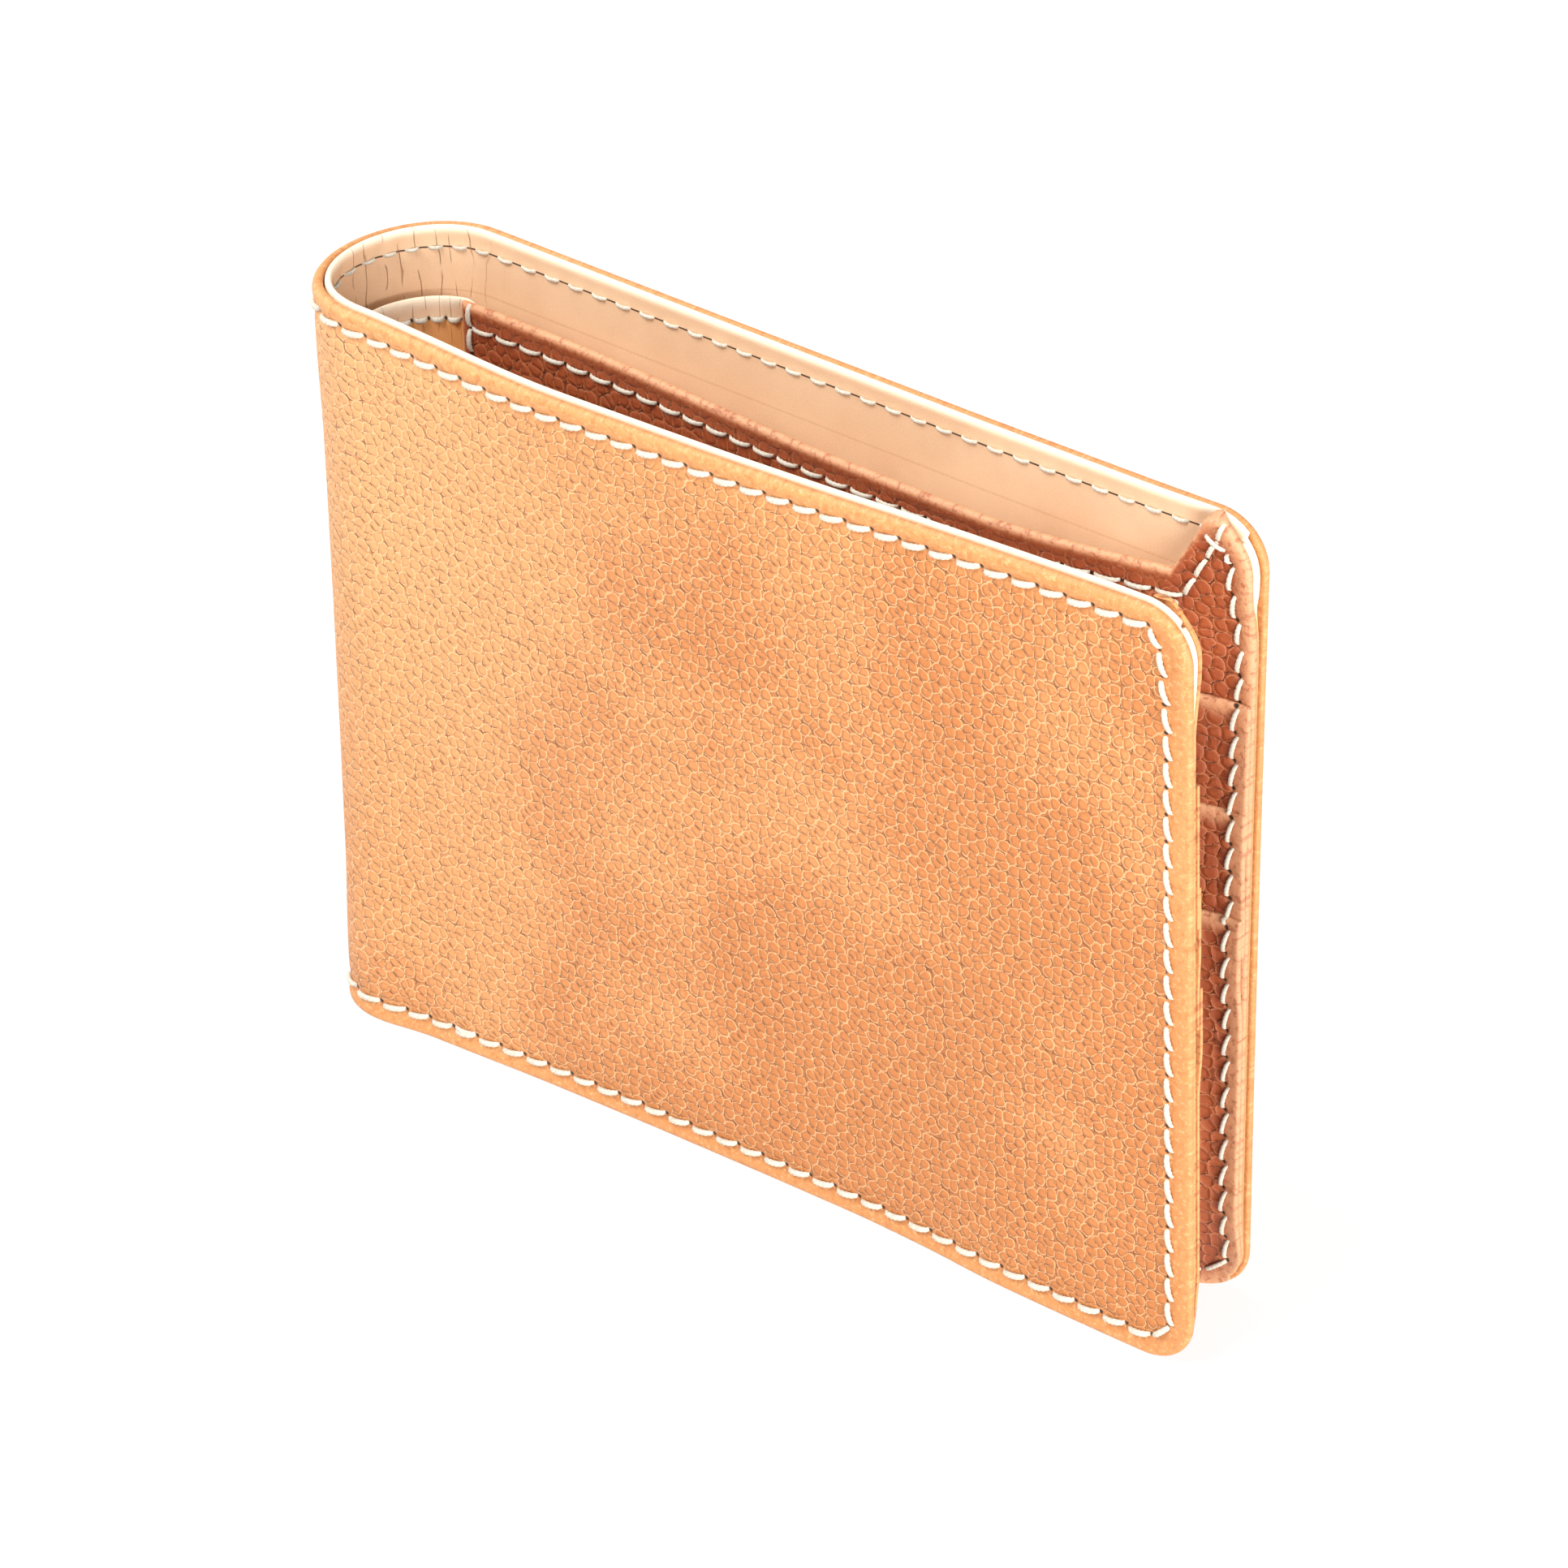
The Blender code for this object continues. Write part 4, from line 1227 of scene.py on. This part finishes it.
def build_leaf(side, number, pocket, leather, holes):
    """A pocket leaf in two pieces that meet at its middle, sewn at its sides."""
    last = pocket == POCKETS[-1]
    low = FOOT_GAP if last else LEAF_BOTTOMS[number]
    near, far = PANEL_NEAR[side] + 0.3 * MM, ENDS[side] - EDGE_STEP
    start, end = ordered(side, near, far)
    middle = SIDES[side] * (near + far) / 2
    seams = (PANEL_NEAR[side] + PANEL_SEAM_INSET, ENDS[side] - CARD_INSET)
    leaf = Sheet(
        low, LEAF_TOPS[number], start, end,
        leaf_face(side, number), LEAF_THICKNESS,
        inset=EDGE_STEP,
        roll=(0.03 * MM, 0.3 * MM),
        holes_in=holes,
        marks_s=[SIDES[side] * seam for seam in seams],
    )
    body, half = f"leaf_{side}_{pocket}", f"half_{side}"
    depths = (PANEL_DEPTH, leaf_inner_face(side, number)(np.array(middle), HEIGHT / 2) + 1 * MM)
    stretches = [("near", start, middle), ("far", middle, end)]
    if side == "front":
        stretches = [("far", start, middle), ("near", middle, end)]
    for name, first, second in stretches:
        piece = build_sheet(f"pocket_leaf_{side}_{pocket}_{name}", leaf, first, second, leather)
        bodies = (half, body) if first == start else (body, half)
        ends = (first + SEWN_WIDTH, second) if first == start else (first, second - SEWN_WIDTH)
        joined_piece(piece, (*ends, *bodies, depths), "card_leather", f"pocket_leaf_{side}_{pocket}")


def build_lining(side, number, pocket, finish):
    """The lining tongue that hangs behind a leaf and makes its pocket's floor."""
    node = f"pocket_lining_{side}_{pocket}"
    low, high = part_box(node)
    near = PANEL_NEAR[side] + PANEL_SEAM_INSET + LINING_INSET
    start, end = ordered(side, near, ENDS[side] - CARD_INSET - LINING_INSET)
    shape = Sheet(
        low.z, high.z, start, end,
        leaf_face(side, number), LINING_THICKNESS,
        inset=CARD_INSET + LINING_INSET,
        roll=(0.2 * MM, 0.2 * MM),
        spacing=(PITCH / 2, 2 * MM),
    )
    piece = build_sheet(f"lining_{side}_{pocket}", shape, start, end, finish)
    rigid_piece(piece, f"half_{side}", "pocket_lining", node)


# Camera, light and floor

CAMERA_ANGLES = (37.82, 32.91, -1.39)  # azimuth, elevation and roll, in degrees
CAMERA_DISTANCE = 684.7 * MM
CAMERA_LENS = 164.8
CAMERA_SHIFT = (0.43 * MM, 3.7 * MM)  # to the right and up in the picture


def add_camera():
    """Looks down on the spine side of the front half through a long lens."""
    azimuth, elevation, roll = (math.radians(angle) for angle in CAMERA_ANGLES)
    back = Vector((math.sin(azimuth), -math.cos(azimuth), 0)) * math.cos(elevation)
    back.z = math.sin(elevation)
    right = Vector((0, 0, 1)).cross(back).normalized()
    up = back.cross(right)
    turned_right = right * math.cos(roll) + up * math.sin(roll)
    turned_up = up * math.cos(roll) - right * math.sin(roll)
    target = Vector((CENTRE[0] + 48.5 * MM, CENTRE[1] - SPINE_RADIUS, 45 * MM))
    place_at = target + back * CAMERA_DISTANCE
    place_at += turned_right * CAMERA_SHIFT[0] + turned_up * CAMERA_SHIFT[1]
    data = bpy.data.cameras.new("camera")
    data.sensor_width = 36
    data.lens = CAMERA_LENS
    made = bpy.data.objects.new("camera", data)
    columns = Matrix((turned_right, turned_up, back)).transposed().to_4x4()
    made.matrix_world = Matrix.Translation(place_at) @ columns
    bpy.context.scene.collection.objects.link(made)
    bpy.context.scene.camera = made


def add_light(name, at, toward, size, power):
    data = bpy.data.lights.new(name, "AREA")
    data.shape = "DISK"
    data.size = size
    data.energy = power
    made = bpy.data.objects.new(name, data)
    made.location = at
    made.rotation_euler = (Vector(toward) - Vector(at)).to_track_quat("-Z", "Y").to_euler()
    bpy.context.scene.collection.objects.link(made)


def add_stage():
    """A white floor and a bright white room."""
    world = bpy.data.worlds.new("studio")
    world.use_nodes = True
    shader = world.node_tree.nodes["Background"]
    shader.inputs["Color"].default_value = (1.0, 1.0, 1.0, 1.0)
    shader.inputs["Strength"].default_value = 0.4
    bpy.context.scene.world = world
    bpy.context.scene.view_settings.view_transform = "Standard"
    mesh = bpy.data.meshes.new("floor")
    size = 3.0
    corner_signs = [(-1, -1), (1, -1), (1, 1), (-1, 1)]
    mesh.from_pydata([(size * x, size * y, 0) for x, y in corner_signs], [], [(0, 1, 2, 3)])
    made = Finish("floor", 0.9)
    made.shader.inputs["Specular IOR Level"].default_value = 0.0
    made.shader.inputs["Emission Color"].default_value = (1.0, 1.0, 1.0, 1.0)
    made.shader.inputs["Emission Strength"].default_value = 0.88
    mesh.materials.append(made.finish((0.165, 0.15, 0.13)))
    floor = bpy.data.objects.new("floor", mesh)
    floor.location.z = -0.05 * MM
    bpy.context.scene.collection.objects.link(floor)
    add_light("key_light", (-0.16, -0.52, 0.8), (0, 0, 0.04), 0.45, 7.1)
    add_light("right_light", (0.62, -0.22, 0.12), (0.04, 0, 0.035), 0.4, 5.5)
    add_light("top_light", (-0.25, 0.05, 0.95), (0, 0, 0.04), 0.6, 3.0)
    add_light("gap_light", (0.5, -0.5, 0.1), (0.05, 0, 0.03), 0.2, 1.6)
    add_light("left_light", (-0.6, -0.1, 0.35), (0, 0, 0.04), 0.35, 2.0)


def main():
    add_camera()
    add_stage()
    cover = grained(
        "cover_leather",
        (
            (0.64, 0.265, 0.088),
            (0.50, 0.17, 0.042),
            (0.80, 0.43, 0.19),
            (0.93, 0.62, 0.34),
            (0.17, 0.048, 0.01),
            (0.63, 0.275, 0.09),
            (0.63, 0.275, 0.09),
        ),
        1.18 * MM,
        (0.31, 0.17, 0.0),
        0.16,
        (2.2, 3.6),
        (0.6, 3.0, 3.0),
    )
    card = grained(
        "card_leather",
        (
            (0.40, 0.095, 0.028),
            (0.31, 0.063, 0.018),
            (0.58, 0.22, 0.095),
            (0.66, 0.27, 0.12),
            (0.09, 0.02, 0.007),
            # The two edge colours, lighter than the grain, partly as painted highlight.
            (0.78, 0.42, 0.22),
            (0.85, 0.42, 0.15),
        ),
        1.4 * MM,
        (0.8, 0.4, 0.0),
        0.0,
        (0.6, 2.4),
        (0.1, 2.4, 1.0),
    )
    cream = (0.88, 0.75, 0.57)
    liner = smooth_leather("liner_leather", (0.84, 0.56, 0.34), (0.77, 0.48, 0.28), cream, 1.0)
    below = (0.80, 0.38, 0.13)
    strip = smooth_leather("strip_leather", (0.85, 0.60, 0.40), (0.79, 0.52, 0.33), cream, 1.6, below)
    thread = thread_finish()
    lining = woven_finish()
    build_outer_wall(cover, liner, thread)
    build_divider(strip)
    build_strip_stitches(thread)
    for side in SIDES:
        build_card_side(side, card, lining, thread)


main()


def corners(box):
    return [[float(number) for number in corner] for corner in box]
